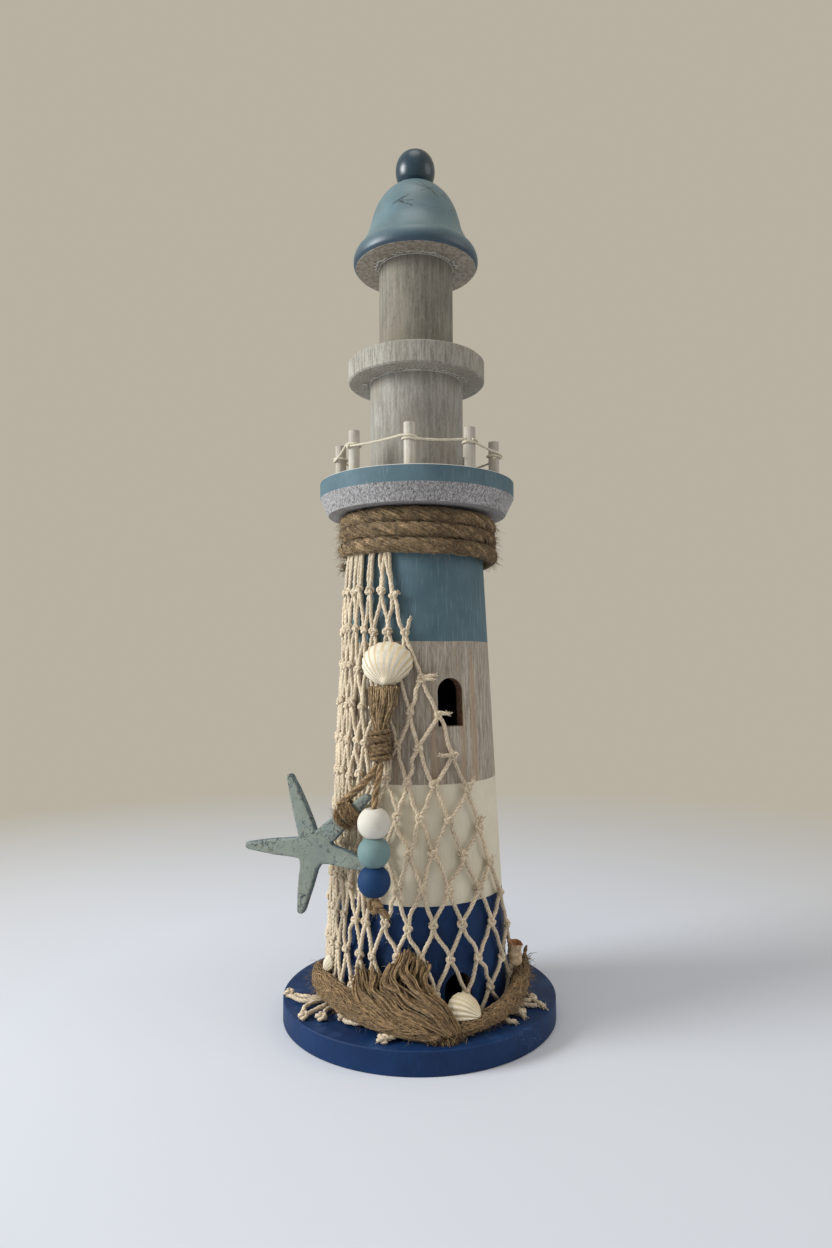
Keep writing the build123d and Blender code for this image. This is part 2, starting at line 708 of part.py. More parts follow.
with BuildPart() as whelk_shell:
    whelk_line = upright(whelk_bearing, 0, garland_right_radius)
    foot = garland_right_top(whelk_bearing + 0.5 * degrees(whelk_foot_diameter / garland_right_radius),
                             garland_right_radius) + seat
    mouth, waist, base = whelk_mouth_diameter / 2, whelk_waist_diameter / 2, whelk_foot_diameter / 2
    with BuildSketch(whelk_line):
        with BuildLine():
            Polyline((0, foot + whelk_length - whelk_bore_depth), (0, foot), (base * 0.6, foot))
            ThreePointArc((base * 0.6, foot), (base, foot + whelk_length * 0.22), (waist, foot + whelk_length * 0.6))
            Line((waist, foot + whelk_length * 0.6), (mouth, foot + whelk_length))
            Polyline((mouth, foot + whelk_length), (mouth - shell_wall, foot + whelk_length),
                     (0, foot + whelk_length - whelk_bore_depth))
        make_face()
    revolve(axis=Axis(whelk_line.origin, (0, 0, 1)))
save(whelk_shell.part, "whelk_shell")

tail_start_distance = max(garland_left_diameter, garland_right_diameter) / 2 + seat
with BuildPart() as net_tails:
    for bearing in tail_bearings:
        with BuildSketch(facing(bearing, tail_start_distance, base_thickness + tail_diameter / 2)):
            RegularPolygon(tail_diameter / 2, tail_sides)
        extrude(amount=tail_length)
save(net_tails.part, "net_tails")
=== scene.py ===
"""Looks of the nautical lighthouse: paint, wood grain, rope, net, jute and shells round the CAD frame.

Colours are display colours in 0..255."""

from math import atan2, cos, exp, log, pi, radians, sin, tau

import bpy
import numpy as np
from mathutils import Matrix, Vector


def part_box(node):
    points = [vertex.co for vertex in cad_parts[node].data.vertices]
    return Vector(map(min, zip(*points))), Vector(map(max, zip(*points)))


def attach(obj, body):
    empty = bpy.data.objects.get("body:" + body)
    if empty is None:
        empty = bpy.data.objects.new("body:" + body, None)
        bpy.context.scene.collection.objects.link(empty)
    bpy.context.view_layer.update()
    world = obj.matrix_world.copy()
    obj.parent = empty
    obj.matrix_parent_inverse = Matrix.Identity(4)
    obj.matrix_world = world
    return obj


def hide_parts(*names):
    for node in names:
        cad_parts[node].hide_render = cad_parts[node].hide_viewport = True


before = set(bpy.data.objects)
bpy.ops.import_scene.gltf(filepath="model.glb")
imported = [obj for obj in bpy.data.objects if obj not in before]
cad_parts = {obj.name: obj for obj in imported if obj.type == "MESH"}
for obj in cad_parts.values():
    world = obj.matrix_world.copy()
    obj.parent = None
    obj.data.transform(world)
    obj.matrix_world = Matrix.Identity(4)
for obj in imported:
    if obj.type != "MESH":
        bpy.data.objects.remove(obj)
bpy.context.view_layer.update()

# ---- Sizes, as the CAD has them
BASE_R = 75.0
BASE_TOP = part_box("base_plate")[1].z * 1000
TOWER_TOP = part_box("tower_shell")[1].z * 1000
TOWER_FOOT_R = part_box("tower_shell")[1].x * 1000
TOWER_TOP_R = 36.0
DECK_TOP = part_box("rail_string")[0].z * 1000 - 15.4
ROOF_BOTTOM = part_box("upper_drum")[1].z * 1000 - 5
RING_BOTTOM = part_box("upper_ring")[0].z * 1000
COLLAR_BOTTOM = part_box("rope_collar")[0].z * 1000
PENDANT = -45.0  # bearing of what hangs on the net
GAP = 0.3  # from the tower to the net
CORD_R = 1.05  # the net's cord
NET_CORD = dict(sides=9, lobes=3, pitch=2.5)
CREAM_FROM, WOOD_FROM, TEAL_FROM = 0.070, 0.1303, 0.204  # where the tower's bands start, in metres
LEVEL, UP = np.array([1, 1, 0]), np.array([0, 0, 1.0])


def tower_radius(z):
    return TOWER_FOOT_R + (TOWER_TOP_R - TOWER_FOOT_R) * (z - BASE_TOP) / (TOWER_TOP - BASE_TOP)


def on_net(z, lift):
    """Radius of the middle of a cord that lies lift above the tower."""
    return tower_radius(z) + GAP + CORD_R + lift


def around(bearing, radius, z):
    """Points from a bearing in degrees (0 is -Y, 90 is +X), a radius and a height."""
    b = np.radians(np.asarray(bearing, float))
    return np.stack(np.broadcast_arrays(radius * np.sin(b), -radius * np.cos(b), z), -1)


def facing(bearing):
    """Directions at a bearing: to the right as seen from outside, up, and outward."""
    b = radians(bearing)
    return np.array([[cos(b), sin(b), 0], UP, [sin(b), -cos(b), 0]])


def hanging(side, z, distance):
    """Points in the upright plane that faces the pendants' bearing: to the right, up and away."""
    return np.stack(np.broadcast_arrays(np.asarray(side, float), z, distance), -1) @ facing(PENDANT)


# ---- Lines
def unit(v):
    return v / np.maximum(np.linalg.norm(v, axis=-1, keepdims=True), 1e-9)


def tangents(path):
    return unit(np.gradient(path, axis=-2))


def lengths(path):
    """Length along each path up to each of its points."""
    steps = np.linalg.norm(np.diff(path, axis=-2), axis=-1)
    return np.concatenate([np.zeros_like(steps[..., :1]), np.cumsum(steps, -1)], -1)


def spline(points, count):
    """Evenly spaced points on a smooth curve through the given ones, (..., n, 3) to (..., count, 3)."""
    p = np.asarray(points, float)
    p = np.concatenate([2 * p[..., :1, :] - p[..., 1:2, :], p, 2 * p[..., -1:, :] - p[..., -2:-1, :]], -2)
    spans = p.shape[-2] - 3
    t = np.linspace(0, spans, count)
    i = np.minimum(t.astype(int), spans - 1)
    u = (t - i)[:, None]
    a, b, c, d = (p[..., i + k, :] for k in range(4))
    return 0.5 * (2 * b + (c - a) * u + (2 * a - 5 * b + 4 * c - d) * u ** 2 + (3 * b - a - 3 * c + d) * u ** 3)


def waves(rng, shape, count, turns=3.0):
    """Smooth random curves in about -1..1, (*shape, count)."""
    t = np.linspace(0, 1, count)
    out = np.zeros((*shape, count))
    for k in (1, 2, 3):
        phase = rng.uniform(0, tau, shape)[..., None]
        rate = rng.uniform(0.5, 1.0, shape)[..., None] * turns * k / 2
        out += np.sin(phase + tau * rate * t) / k
    return out / 1.8


def wave(rng, count, turns):
    return waves(rng, (1,), count, turns)[0]


def swing(phase, u, v):
    """Directions turned by a phase from u towards v."""
    return np.cos(phase)[..., None] * u + np.sin(phase)[..., None] * v


def knot_loop(spot, axes, steps, wide, high, deep, turn=0.0):
    """The closed line of a knot round a spot. axes are its directions to the right, up and out."""
    s = np.linspace(0, tau, steps, endpoint=False)
    x, y = (2 + np.cos(3 * s)) * np.cos(2 * s) * wide, (2 + np.cos(3 * s)) * np.sin(2 * s) * high
    flat = np.stack([x * cos(turn) - y * sin(turn), x * sin(turn) + y * cos(turn), np.sin(3 * s) * deep], -1)
    return spot + flat @ axes


def smooth_route(points, count):
    """Even points on the smooth line that a cord follows from its control points, and its length in metres."""
    line = bpy.data.curves.new("route", "CURVE")
    line.dimensions = "3D"
    route = line.splines.new("NURBS")
    route.points.add(len(points) - 1)
    for point, spot in zip(route.points, points / 1000):
        point.co = (*spot, 1)
    route.order_u = 3
    route.use_endpoint_u = True
    route.resolution_u = 24
    holder = bpy.data.objects.new("route", line)
    mesh = bpy.data.meshes.new_from_object(holder)
    centre = np.array([v.co for v in mesh.vertices]) * 1000
    bpy.data.meshes.remove(mesh)
    bpy.data.objects.remove(holder)
    bpy.data.curves.remove(line)
    length = lengths(centre)
    even = np.linspace(0, length[-1], count)
    return np.stack([np.interp(even, length, centre[:, k]) for k in range(3)], -1), float(length[-1]) / 1000


# ---- Meshes
def grid(rows, columns, ring_rows=False, ring_columns=True):
    """Quads of a grid of points. A ring joins its last row or column to its first."""
    i, j = np.meshgrid(np.arange(rows - (not ring_rows)), np.arange(columns - (not ring_columns)), indexing="ij")
    i2, j2 = (i + 1) % rows, (j + 1) % columns
    return np.stack([i * columns + j, i * columns + j2, i2 * columns + j2, i2 * columns + j], -1).reshape(-1, 4)


def lids(rows, sides):
    """The end faces of a tube of rows."""
    return [list(range(sides))[::-1], list(range((rows - 1) * sides, rows * sides))]


def make_mesh(name, points, faces, uv=None, smooth=None):
    """A mesh from points in millimetres. uv holds a pair for each point, smooth how many faces are shaded so."""
    mesh = bpy.data.meshes.new(name)
    mesh.from_pydata((points / 1000).tolist(), [], faces)
    if uv is not None:
        index = np.zeros(len(mesh.loops), int)
        mesh.loops.foreach_get("vertex_index", index)
        mesh.uv_layers.new(name="along").data.foreach_set("uv", uv[index].reshape(-1))
    mesh.polygons.foreach_set("use_smooth", np.arange(len(faces)) < (len(faces) if smooth is None else smooth))
    mesh.update()
    return mesh


def place(name, mesh, material, replaces=None, body="root"):
    """Puts a mesh in the scene as a piece that rides a body. replaces is the CAD node that it stands for."""
    piece = bpy.data.objects.new(name, mesh)
    bpy.context.scene.collection.objects.link(piece)
    mesh.materials.append(material)
    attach(piece, body)
    if replaces:
        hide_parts(replaces)
    return piece


def apply_modifiers(piece):
    old, name = piece.data, piece.data.name
    made = bpy.data.meshes.new_from_object(piece.evaluated_get(bpy.context.evaluated_depsgraph_get()))
    piece.modifiers.clear()
    piece.data = made
    bpy.data.meshes.remove(old)
    made.name = name


class Strands:
    """Collects tubes that follow paths, and makes one mesh of them."""

    def __init__(self, seed=0):
        self.verts, self.faces, self.uvs, self.caps, self.count = [], [], [], [], 0
        self.rng = np.random.default_rng(seed)

    def add(self, paths, radius, sides=6, lobes=0, depth=0.0, pitch=6.0, closed=False):
        """Tubes round paths (n, 3) or (m, n, 3). The lobes of their section turn by one in each pitch."""
        p = np.asarray(paths, float)
        p = p[None] if p.ndim == 2 else p
        m, n = p.shape[:2]
        tangent = unit(np.roll(p, -1, 1) - np.roll(p, 1, 1)) if closed else tangents(p)
        u = np.empty_like(p)
        last = np.where(np.abs(tangent[:, 0, 2:]) < 0.8, UP, np.array([1.0, 0, 0]))
        for k in range(n):
            last = u[:, k] = unit(last - (last * tangent[:, k]).sum(-1, keepdims=True) * tangent[:, k])
        v = np.cross(tangent, u)
        length = lengths(p)
        angle = np.arange(sides) * tau / sides
        swell = 1 + depth * np.cos(lobes * angle - tau * length[..., None] / pitch)
        swell = np.broadcast_to(radius, (m, n))[..., None] * swell
        ring = p[:, :, None] + swell[..., None] * swing(angle, u[:, :, None], v[:, :, None])
        self.verts.append(ring.reshape(-1, 3))
        quad = grid(n, sides, closed)
        base = self.count + np.arange(m)[:, None] * n * sides
        self.faces.append((quad[None] + base[..., None]).reshape(-1, 4))
        row, side = np.divmod(quad[:, 0], sides)
        ends = np.concatenate([length, length[:, -1:] + 0.5], 1) + pitch * self.rng.integers(0, 400, (m, 1))
        low, high = ends[:, row], ends[:, row + 1]
        left, right = (np.broadcast_to(s / sides, low.shape) for s in (side, side + 1))
        self.uvs.append(np.stack([left, low, right, low, right, high, left, high], -1).reshape(-1))
        if not closed:
            section = np.arange(sides)
            self.caps += (base + section[::-1]).tolist() + (base + (n - 1) * sides + section).tolist()
        self.count += m * n * sides

    def build(self, name, material, replaces=None, slot="jute", body="root"):
        quads = np.concatenate(self.faces)
        mesh = make_mesh(name, np.concatenate(self.verts), quads.tolist() + self.caps, smooth=len(quads))
        uv = np.zeros(len(mesh.loops) * 2)
        uv[:quads.size * 2] = np.concatenate(self.uvs)
        mesh.uv_layers.new(name="along").data.foreach_set("uv", uv)
        return place(name, mesh, material, replaces, body)


# ---- Yarn and rope
def hairs(strands, rng, roots, outward, along, length, radius=0.07, droop=0.15):
    """Loose fibres that spring from points, leaning outward and along."""
    m = len(roots)
    size = length * rng.uniform(0.35, 1.0, (m, 1))
    lean = unit(outward * rng.uniform(0.3, 1.0, (m, 1)) + along * rng.uniform(-1.3, 1.3, (m, 1))
                + rng.normal(0, 0.35, (m, 3)))
    turn = unit(rng.normal(0, 1, (m, 3)))
    t = np.linspace(0, 1, 6)[None, :, None]
    path = roots[:, None] + lean[:, None] * size[..., None] * t + turn[:, None] * size[..., None] * 0.35 * t ** 2
    path[..., 2] -= droop * size * t[..., 0] ** 2
    strands.add(path, np.linspace(radius, radius * 0.5, 6), sides=3)


def fuzz(strands, rng, centre, outward, count, lift, length, reach=None):
    """Hairs that spring from a rope, over its first reach points."""
    pick = rng.integers(0, reach or len(centre), count)
    out = unit(outward)[pick]
    hairs(strands, rng, centre[pick] + out * lift, out, tangents(centre)[pick], length)


def loose_hairs(strands, paths, count, length, low=1, lift=0.4):
    """Hairs that spring from strands which lie round the tower."""
    rng = strands.rng
    roots = paths[rng.integers(0, len(paths), count), rng.integers(low, paths.shape[1] - 1, count)]
    out = unit(roots * LEVEL) + lift * UP
    hairs(strands, rng, roots, out, np.cross(UP, out), length, 0.08, 0.3)


def rope_frame(centre, outward):
    """Directions across a centreline, and the length along it."""
    tangent = tangents(centre)
    u = unit(outward - (outward * tangent).sum(-1, keepdims=True) * tangent)
    return u, np.cross(tangent, u), lengths(centre)


def twisted(strands, centre, outward, radius, plies, twist, ply_radius, sides, rough=0.0, **more):
    """Plies that twist about a centreline. outward is a direction across it at each point."""
    u, v, length = rope_frame(centre, outward)
    uneven = waves(strands.rng, (plies, 2), len(centre), length[-1] / 40)
    for ply in range(plies):
        phase = tau * (length / twist + ply / plies) + uneven[ply, 0] * rough * 2
        path = centre + (radius - ply_radius) * swing(phase, u, v)
        strands.add(path, ply_radius * (1 + rough * uneven[ply, 1]), sides=sides, **more)


def fibres(strands, centre, outward, radius, twist, count, span, size, loose=0.12):
    """Single fibres that lie on a rope and follow its twist, each over span points of the centreline."""
    rng = strands.rng
    u, v, length = rope_frame(centre, outward)
    at = rng.integers(0, len(centre) - span - 1, (count, 1)) + np.arange(0, span, max(span // 8, 1))
    phase = rng.uniform(0, tau, (count, 1)) + tau * length[at] / twist * rng.uniform(0.5, 1.15, (count, 1))
    reach = radius * (1 + loose * waves(rng, (count,), at.shape[1], 2) + rng.uniform(-0.10, 0.05, (count, 1)))
    path = centre[at] + reach[..., None] * swing(phase, u[at], v[at])
    strands.add(path, size * rng.uniform(0.6, 1.3, (count, 1)), sides=4)


def binding(strands, rng, centre, outward, radius, ply_radius, skin, lift):
    """Two-ply twine wound round a piece, with fibres and fuzz on it."""
    twisted(strands, centre, outward, radius, 2, 7.0, ply_radius, 8, 0.12, lobes=4, depth=0.12, pitch=4)
    fibres(strands, centre, outward, skin, 7.0, 420, 16, 0.10, 0.25)
    fuzz(strands, rng, centre, outward, 380, lift, 4.5)


# ---- Finishes
def linear(r, g, b):
    """Scene colour from a display colour."""
    return tuple(((c / 255 + 0.055) / 1.055) ** 2.4 if c > 10 else c / 255 / 12.92 for c in (r, g, b)) + (1.0,)


def operation(name):
    return lambda value, other=0.0: value.nodes.math(name, value, other)


class Value:
    """An output of a node, which takes plain arithmetic and comparison."""

    def __init__(self, nodes, socket):
        self.nodes, self.socket = nodes, socket

    __add__, __sub__, __mul__, __truediv__ = map(operation, ("ADD", "SUBTRACT", "MULTIPLY", "DIVIDE"))
    __abs__, __gt__, __lt__ = map(operation, ("ABSOLUTE", "GREATER_THAN", "LESS_THAN"))


class Nodes:
    """A node tree, written as short calls."""

    def __init__(self, tree):
        self.tree = tree

    def feed(self, socket, value):
        if isinstance(value, Value):
            self.tree.links.new(value.socket, socket)
        else:
            socket.default_value = linear(*value) if socket.type == "RGBA" else value

    def made(self, kind, inputs=None, output=0, **settings):
        """An output of a new node, with the inputs that are given by number or name."""
        node = self.tree.nodes.new(kind)
        for key, value in settings.items():
            setattr(node, key, value)
        for key, value in (inputs or {}).items():
            self.feed(node.inputs[key], value)
        return Value(self, node.outputs[output])

    def math(self, operation, a, b=0.0, c=0.0):
        return self.made("ShaderNodeMath", {0: a, 1: b, 2: c}, operation=operation)

    def on_background(self):
        """1 for the rays that show the background: straight, mirrored or through glass."""
        straight, mirrored, through = (self.made("ShaderNodeLightPath", output=name)
                                       for name in ("Is Camera Ray", "Is Glossy Ray", "Is Transmission Ray"))
        return self.math("MAXIMUM", self.math("MAXIMUM", straight, mirrored), through)

    def blend(self, share, a, b, output):
        """Joins two shaders in the output."""
        self.feed(self.tree.nodes[output].inputs["Surface"], self.made("ShaderNodeMixShader", {0: share, 1: a, 2: b}))


class Finish(Nodes):
    """A procedural material. place is the object's own space in metres, along the mesh's UV."""

    def __init__(self, name, roughness, **sockets):
        self.material = bpy.data.materials.new(name)
        self.material.use_nodes = True
        super().__init__(self.material.node_tree)
        self.shader = self.tree.nodes["Principled BSDF"]
        for key, value in {"Roughness": roughness, **sockets}.items():
            self.shader.inputs[key.replace("_", " ")].default_value = value
        self.place = self.made("ShaderNodeTexCoord", output="Object")
        self.along = self.made("ShaderNodeTexCoord", output="UV")

    def done(self, colour, height, distance, strength):
        """The material, with its colour and a bump."""
        bump = self.made("ShaderNodeBump", {"Height": height, "Distance": distance, "Strength": strength}, "Normal")
        self.feed(self.shader.inputs["Base Color"], colour)
        self.feed(self.shader.inputs["Normal"], bump)
        return self.material

    def axes(self, source=None):
        split = self.made("ShaderNodeSeparateXYZ", {0: source or self.place})
        return [Value(self, socket) for socket in split.socket.node.outputs]

    def radius(self):
        x, y, _ = self.axes()
        return self.math("SQRT", x * x + y * y)

    def combine(self, *values):
        return self.made("ShaderNodeCombineXYZ", dict(enumerate(values)))

    def stretched(self, up):
        return self.made("ShaderNodeVectorMath", {0: self.place, 1: (1, 1, up)}, operation="MULTIPLY")

    def noise(self, scale, detail, rough=0.6, distortion=0.0, at=None):
        inputs = {"Vector": at or self.place, "Scale": scale, "Detail": detail, "Roughness": rough}
        return self.made("ShaderNodeTexNoise", {**inputs, "Distortion": distortion}, "Fac")

    def ramp(self, value, *stops):
        """Maps a value through (position, level or colour) stops, straight in between."""
        made = self.made("ShaderNodeValToRGB", {"Fac": value})
        points = made.socket.node.color_ramp.elements
        while len(points) < len(stops):
            points.new(0.5)
        for point, (position, level) in zip(points, stops):
            point.position = position
            point.color = linear(*level) if isinstance(level, tuple) else (level, level, level, 1)
        return made

    def blotch(self, scale, detail, low, high, rough=0.6, at=None):
        """Noise, mapped from the low stop to the high one."""
        return self.ramp(self.noise(scale, detail, rough, at=at), low, high)

    def mix(self, factor, a, b, blend="MIX"):
        return self.made("ShaderNodeMix", {0: factor, 6: a, 7: b}, 2, data_type="RGBA", blend_type=blend)

    def grain(self, dark, light, fibre, scale, low, high):
        """Wood fibre that runs up the piece, washed over so that the dark shows in streaks."""
        streaks = self.noise(scale, 6, 0.65, at=self.stretched(fibre))
        fine = self.noise(scale * 2.6, 4, 0.7, at=self.stretched(fibre * 3))
        washed = self.ramp(streaks * 0.62 + fine * 0.38, (low, 0.0), (high, 1.0))
        return self.mix(washed * (self.noise(45, 3) * 0.7 + 0.62), dark, light), streaks

    def paint(self, colour, darker, lighter, brush=0.12):
        """Flat paint with faint brush marks and cloudy variation."""
        base = self.mix(self.blotch(55, 4, (0.3, 0.0), (0.7, 1.0)), darker, colour)
        return self.mix(self.blotch(1100, 3, (0.58, 0.0), (0.78, 0.5), at=self.stretched(brush)), base, lighter)

    def scratches(self, colour, mark, scale, width, patch):
        """Thin scribbled scuffs, gathered in patches."""
        thin = abs(self.noise(scale, 2, 0.5, 1.6, self.stretched(0.55)) - 0.5) < width
        return self.mix(thin * self.blotch(38, 2, (patch, 0.0), (patch + 0.06, 1.0)), colour, mark)


# Paints: the colour, darker and lighter
NAVY = (11, 48, 92), (8, 36, 74), (36, 80, 132)
TEAL = (88, 112, 120), (72, 95, 104), (128, 150, 157)
CREAM = (222, 213, 192), (210, 200, 174), (236, 229, 212)


def navy_board():
    f = Finish("navy_board", 0.6, Specular_IOR_Level=0.25)
    z = f.axes()[2]
    edge = f.radius() + z > (BASE_R + BASE_TOP - 0.4) / 1000
    colour = f.mix(edge * f.blotch(160, 3, (0.35, 0.15), (0.6, 0.75)), f.paint(*NAVY), (92, 124, 172))
    # Paler blue patches on the top face: dust, and painted sheen where the top catches the light
    dust_and_sheen = f.blotch(70, 5, (0.50, 0.0), (0.72, 0.35), 0.7) * (z > (BASE_TOP - 0.2) / 1000)
    colour = f.scratches(f.mix(dust_and_sheen, colour, (70, 98, 140)), (104, 132, 172), 300, 0.003, 0.62)
    return f.done(colour, f.noise(900, 3), 0.0001, 0.4)


def tower_bands():
    """Four painted bands, with bare wood in the window and the door, and dark behind it."""
    f = Finish("tower_bands", 0.72, Specular_IOR_Level=0.3)
    z = f.axes()[2]
    level = z + (f.noise(30, 3) - 0.5) * 0.0016
    wood, streaks = f.grain((112, 97, 82), (186, 176, 160), 0.03, 1000, 0.36, 0.60)
    wood = f.mix(f.blotch(130, 2, (0.52, 0.0), (0.64, 0.55), at=f.stretched(0.03)), wood, (164, 138, 108))
    lines = f.blotch(800, 2, (0.63, 0.0), (0.68, 0.45), at=f.stretched(0.012))
    teal = f.mix(lines, f.paint(*TEAL, 0.02), TEAL[2])
    slope = (TOWER_TOP_R - TOWER_FOOT_R) / (TOWER_TOP - BASE_TOP)
    depth = z * slope + (TOWER_FOOT_R - slope * BASE_TOP) / 1000 - f.radius()
    bare = f.mix(f.blotch(700, 3, (0.4, 0.0), (0.6, 1.0)), (96, 70, 56), (140, 108, 88))
    colour = f.paint(*NAVY)
    for there, paint in ((level > CREAM_FROM, f.paint(*CREAM, 0.03)), (level > WOOD_FROM, wood),
                         (level > TEAL_FROM, teal), (depth > 0.0007, bare), (depth > 0.0068, (16, 14, 12))):
        colour = f.mix(there, colour, paint)
    return f.done(colour, streaks, 0.00018, 0.5)


def dashes(f, colour, slant, density, side):
    """Short dark scrapes that lean by slant degrees, seen from the front. side keeps them to one half."""
    x, y, z = f.axes()
    c, s = cos(radians(slant)), sin(radians(slant))
    lie = f.combine(x * (1500 * c) + z * (1500 * s), x * (-150 * s) + z * (150 * c), y * 90.0)
    short = f.blotch(1.0, 2, (0.75 - density, 0.0), (0.78 - density, 0.9), 0.5, lie)
    where = f.blotch(55, 3, (0.44, 0.0), (0.56, 1.0))
    if side:
        where = where * f.ramp(x * side[0] + y * side[1], (0.0, 0.0), (0.012, 1.0))
    return f.mix(short * where, colour, (52, 44, 40))


def washed_wood(name, dark, light, fibre, low, high, scale, slant=-24.0, density=0.05, side=None):
    f = Finish(name, 0.85, Specular_IOR_Level=0.3)
    colour, streaks = f.grain(dark, light, fibre, scale, low, high)
    stain = f.blotch(42, 3, (0.42, 0.0), (0.70, 0.45), at=f.stretched(0.5))
    return f.done(dashes(f, f.mix(stain, colour, (134, 122, 106)), slant, density, side), streaks, 0.00016, 0.5)


def deck_finish():
    """Teal edge over a speckled wash, which also covers the top."""
    f = Finish("deck_finish", 0.7, Specular_IOR_Level=0.35)
    z = f.axes()[2]
    teal = f.scratches(f.paint(*TEAL), (52, 72, 82), 420, 0.006, 0.56)
    wash, streaks = f.grain((84, 79, 77), (192, 189, 188), 0.28, 1350, 0.40, 0.57)
    wash = f.mix(f.blotch(1700, 3, (0.53, 0.0), (0.61, 0.75), 0.7, f.stretched(0.6)), wash, (86, 80, 78))
    colour = f.mix(z > (DECK_TOP - 8.9) / 1000, wash, teal)
    colour = f.mix(z > (DECK_TOP - 0.35) / 1000, colour, f.mix(0.6, wash, (226, 222, 212)))
    return f.done(colour, streaks, 0.0002, 0.5)


def roof_finish():
    """Light bell over painted shade: a darker rim and a darkest lower edge, with rubs that show dark, and a bare
    underside.
    """
    f = Finish("roof_finish", 0.42, Specular_IOR_Level=0.5)
    z = f.axes()[2]
    light = f.paint((97, 121, 128), (85, 105, 109), (126, 150, 160), 0.5)
    # rim and edge are the bell's paint made darker: painted shade on the side of the rim, darkest on its down-facing
    # lower edge
    rim = f.paint((82, 103, 110), (70, 90, 98), (108, 130, 138), 0.5)
    edge = f.paint((54, 76, 90), (44, 62, 76), (80, 104, 118), 0.5)
    level = z + (f.noise(200, 3) - 0.5) * 0.0012
    colour = f.mix(f.ramp(level, ((ROOF_BOTTOM + 8.8) / 1000, 0.0), ((ROOF_BOTTOM + 9.4) / 1000, 1.0)), rim, light)
    colour = f.mix(f.ramp(level, ((ROOF_BOTTOM + 3.6) / 1000, 1.0), ((ROOF_BOTTOM + 4.6) / 1000, 0.0)), colour, edge)
    for rub in ((-44, 29.5, 0.45, 0.24), (-38, 26.5, -0.45, 0.22), (-34, 28.0, -0.1, 0.12),
                (-4, 37.0, -1.1, 0.22), (-12, 38.0, -0.4, 0.18), (-9, 36.2, 0.5, 0.12)):
        colour = scuff(f, colour, *rub)
    scuffed = f.scratches(colour, (46, 58, 66), 170, 0.010, 0.60)
    colour = f.mix(z > (ROOF_BOTTOM + 18) / 1000, colour, scuffed)
    bare = f.mix(f.blotch(420, 5, (0.35, 0.0), (0.65, 1.0)), (112, 102, 88), (166, 156, 140))
    return f.done(f.mix(z < (ROOF_BOTTOM + 0.2) / 1000, colour, bare), f.noise(800, 3), 0.0001, 0.4)


def scuff(f, colour, bearing, height, tilt, wide):
    """A ragged dark rub at a bearing and a height on the roof, tilt millimetres up for each one to the right."""
    x, y, z = f.axes()
    c, s = cos(radians(bearing)), sin(radians(bearing))
    across = x * (1000 * c) + y * (1000 * s)
    ragged = (f.noise(600, 4, 0.7) - 0.5) * 2.6
    off = abs(z * 1000.0 - (ROOF_BOTTOM + height) - across * tilt + ragged)
    line = f.ramp(off, (wide, 1.0), (wide * 4, 0.0)) * f.ramp(abs(across) * 0.1, (0.32, 1.0), (0.55, 0.0))
    front = x * s - y * c > 0.0
    return f.mix(line * (f.blotch(900, 3, (0.40, 0.25), (0.55, 1.0)) * front), colour, (34, 44, 50))


def finial_finish():
    f = Finish("finial_finish", 0.32, Specular_IOR_Level=0.5)
    return f.done(f.paint((38, 62, 74), (28, 48, 60), (74, 100, 108), 0.6), f.noise(500, 2), 0.00008, 0.3)


def bead_finish(name, *paint):
    f = Finish(name, 0.7, Specular_IOR_Level=0.3)
    return f.done(f.paint(*paint, 0.4), f.noise(1100, 3), 0.00012, 0.5)


def fibre_finish(name, dark, middle, light, lines=7.0, fleck=2200, bump=0.0002, tint=0.0, plies=None, clumps=0.0):
    """Yarn: fine fibres that run with the strand. tint sets how far strands differ and clumps how far patches do.

    plies gives the number of plies, their pitch and how dark the painted shade in the grooves between them is."""
    f = Finish(name, 0.9, Specular_IOR_Level=0.2, Sheen_Weight=0.15)
    u, v, _ = f.axes(f.along)
    fine = f.noise(2.2, 4, 0.7, at=f.combine(u * lines + v * 0.35, v * 0.22))
    both = fine * 0.55 + f.noise(fleck, 3, 0.7) * 0.45
    colour = f.ramp(both, (0.36, dark), (0.50, middle), (0.64, light))
    shades = [f.blotch(90, 3, (0.35, 0.78), (0.65, 1.0))]
    if clumps:
        shades.append(f.blotch(420, 3, (0.40, 1 - clumps), (0.60, 1.0)))
    if tint:
        shades.append(f.blotch(1.0, 2, (0.38, 1 - tint), (0.62, 1.0), at=f.combine(v * 0.03)))
    if plies:
        # Painted shade in the grooves between the plies: the colour darkens where the ridge is low
        count, pitch, groove = plies
        ridge = f.math("COSINE", (u * float(count) - v / pitch) * tau) * 0.5 + 0.5
        shades.append(f.ramp(ridge, (0.0, groove), (0.45, 1.0)))
    for shade in shades:
        colour = f.mix(1.0, colour, shade, "MULTIPLY")
    return f.done(colour, both, bump, 0.8)


def shell_finish(name, groove, body, crest, stain):
    """Sea shell: along holds the rib position and the distance from the beak."""
    f = Finish(name, 0.5)
    u, v, _ = f.axes(f.along)
    ribs, rings = f.math("SINE", u * tau) * 0.5 + 0.5, f.noise(9, 2, at=v)
    colour = f.mix(ribs, groove, f.mix(f.noise(240, 4), body, crest))
    colour = f.mix(f.ramp(rings, (0.5, 0.0), (0.7, 0.4)), colour, stain)
    colour = f.mix(f.blotch(110, 3, (0.5, 0.0), (0.72, 0.5)), colour, stain)
    return f.done(colour, f.noise(1500, 3) + rings, 0.00012, 0.5)


def whelk_finish():
    """Speckled skin, and a plain dark inside where along reaches past 1."""
    f = Finish("whelk_shell_wall", 0.45)
    skin = f.mix(f.blotch(420, 4, (0.35, 0.0), (0.65, 1.0)), (150, 122, 88), (206, 182, 146))
    return f.done(f.mix(f.axes(f.along)[1] > 1.0, skin, (150, 104, 66)), f.noise(1400, 3), 0.00015, 0.5)


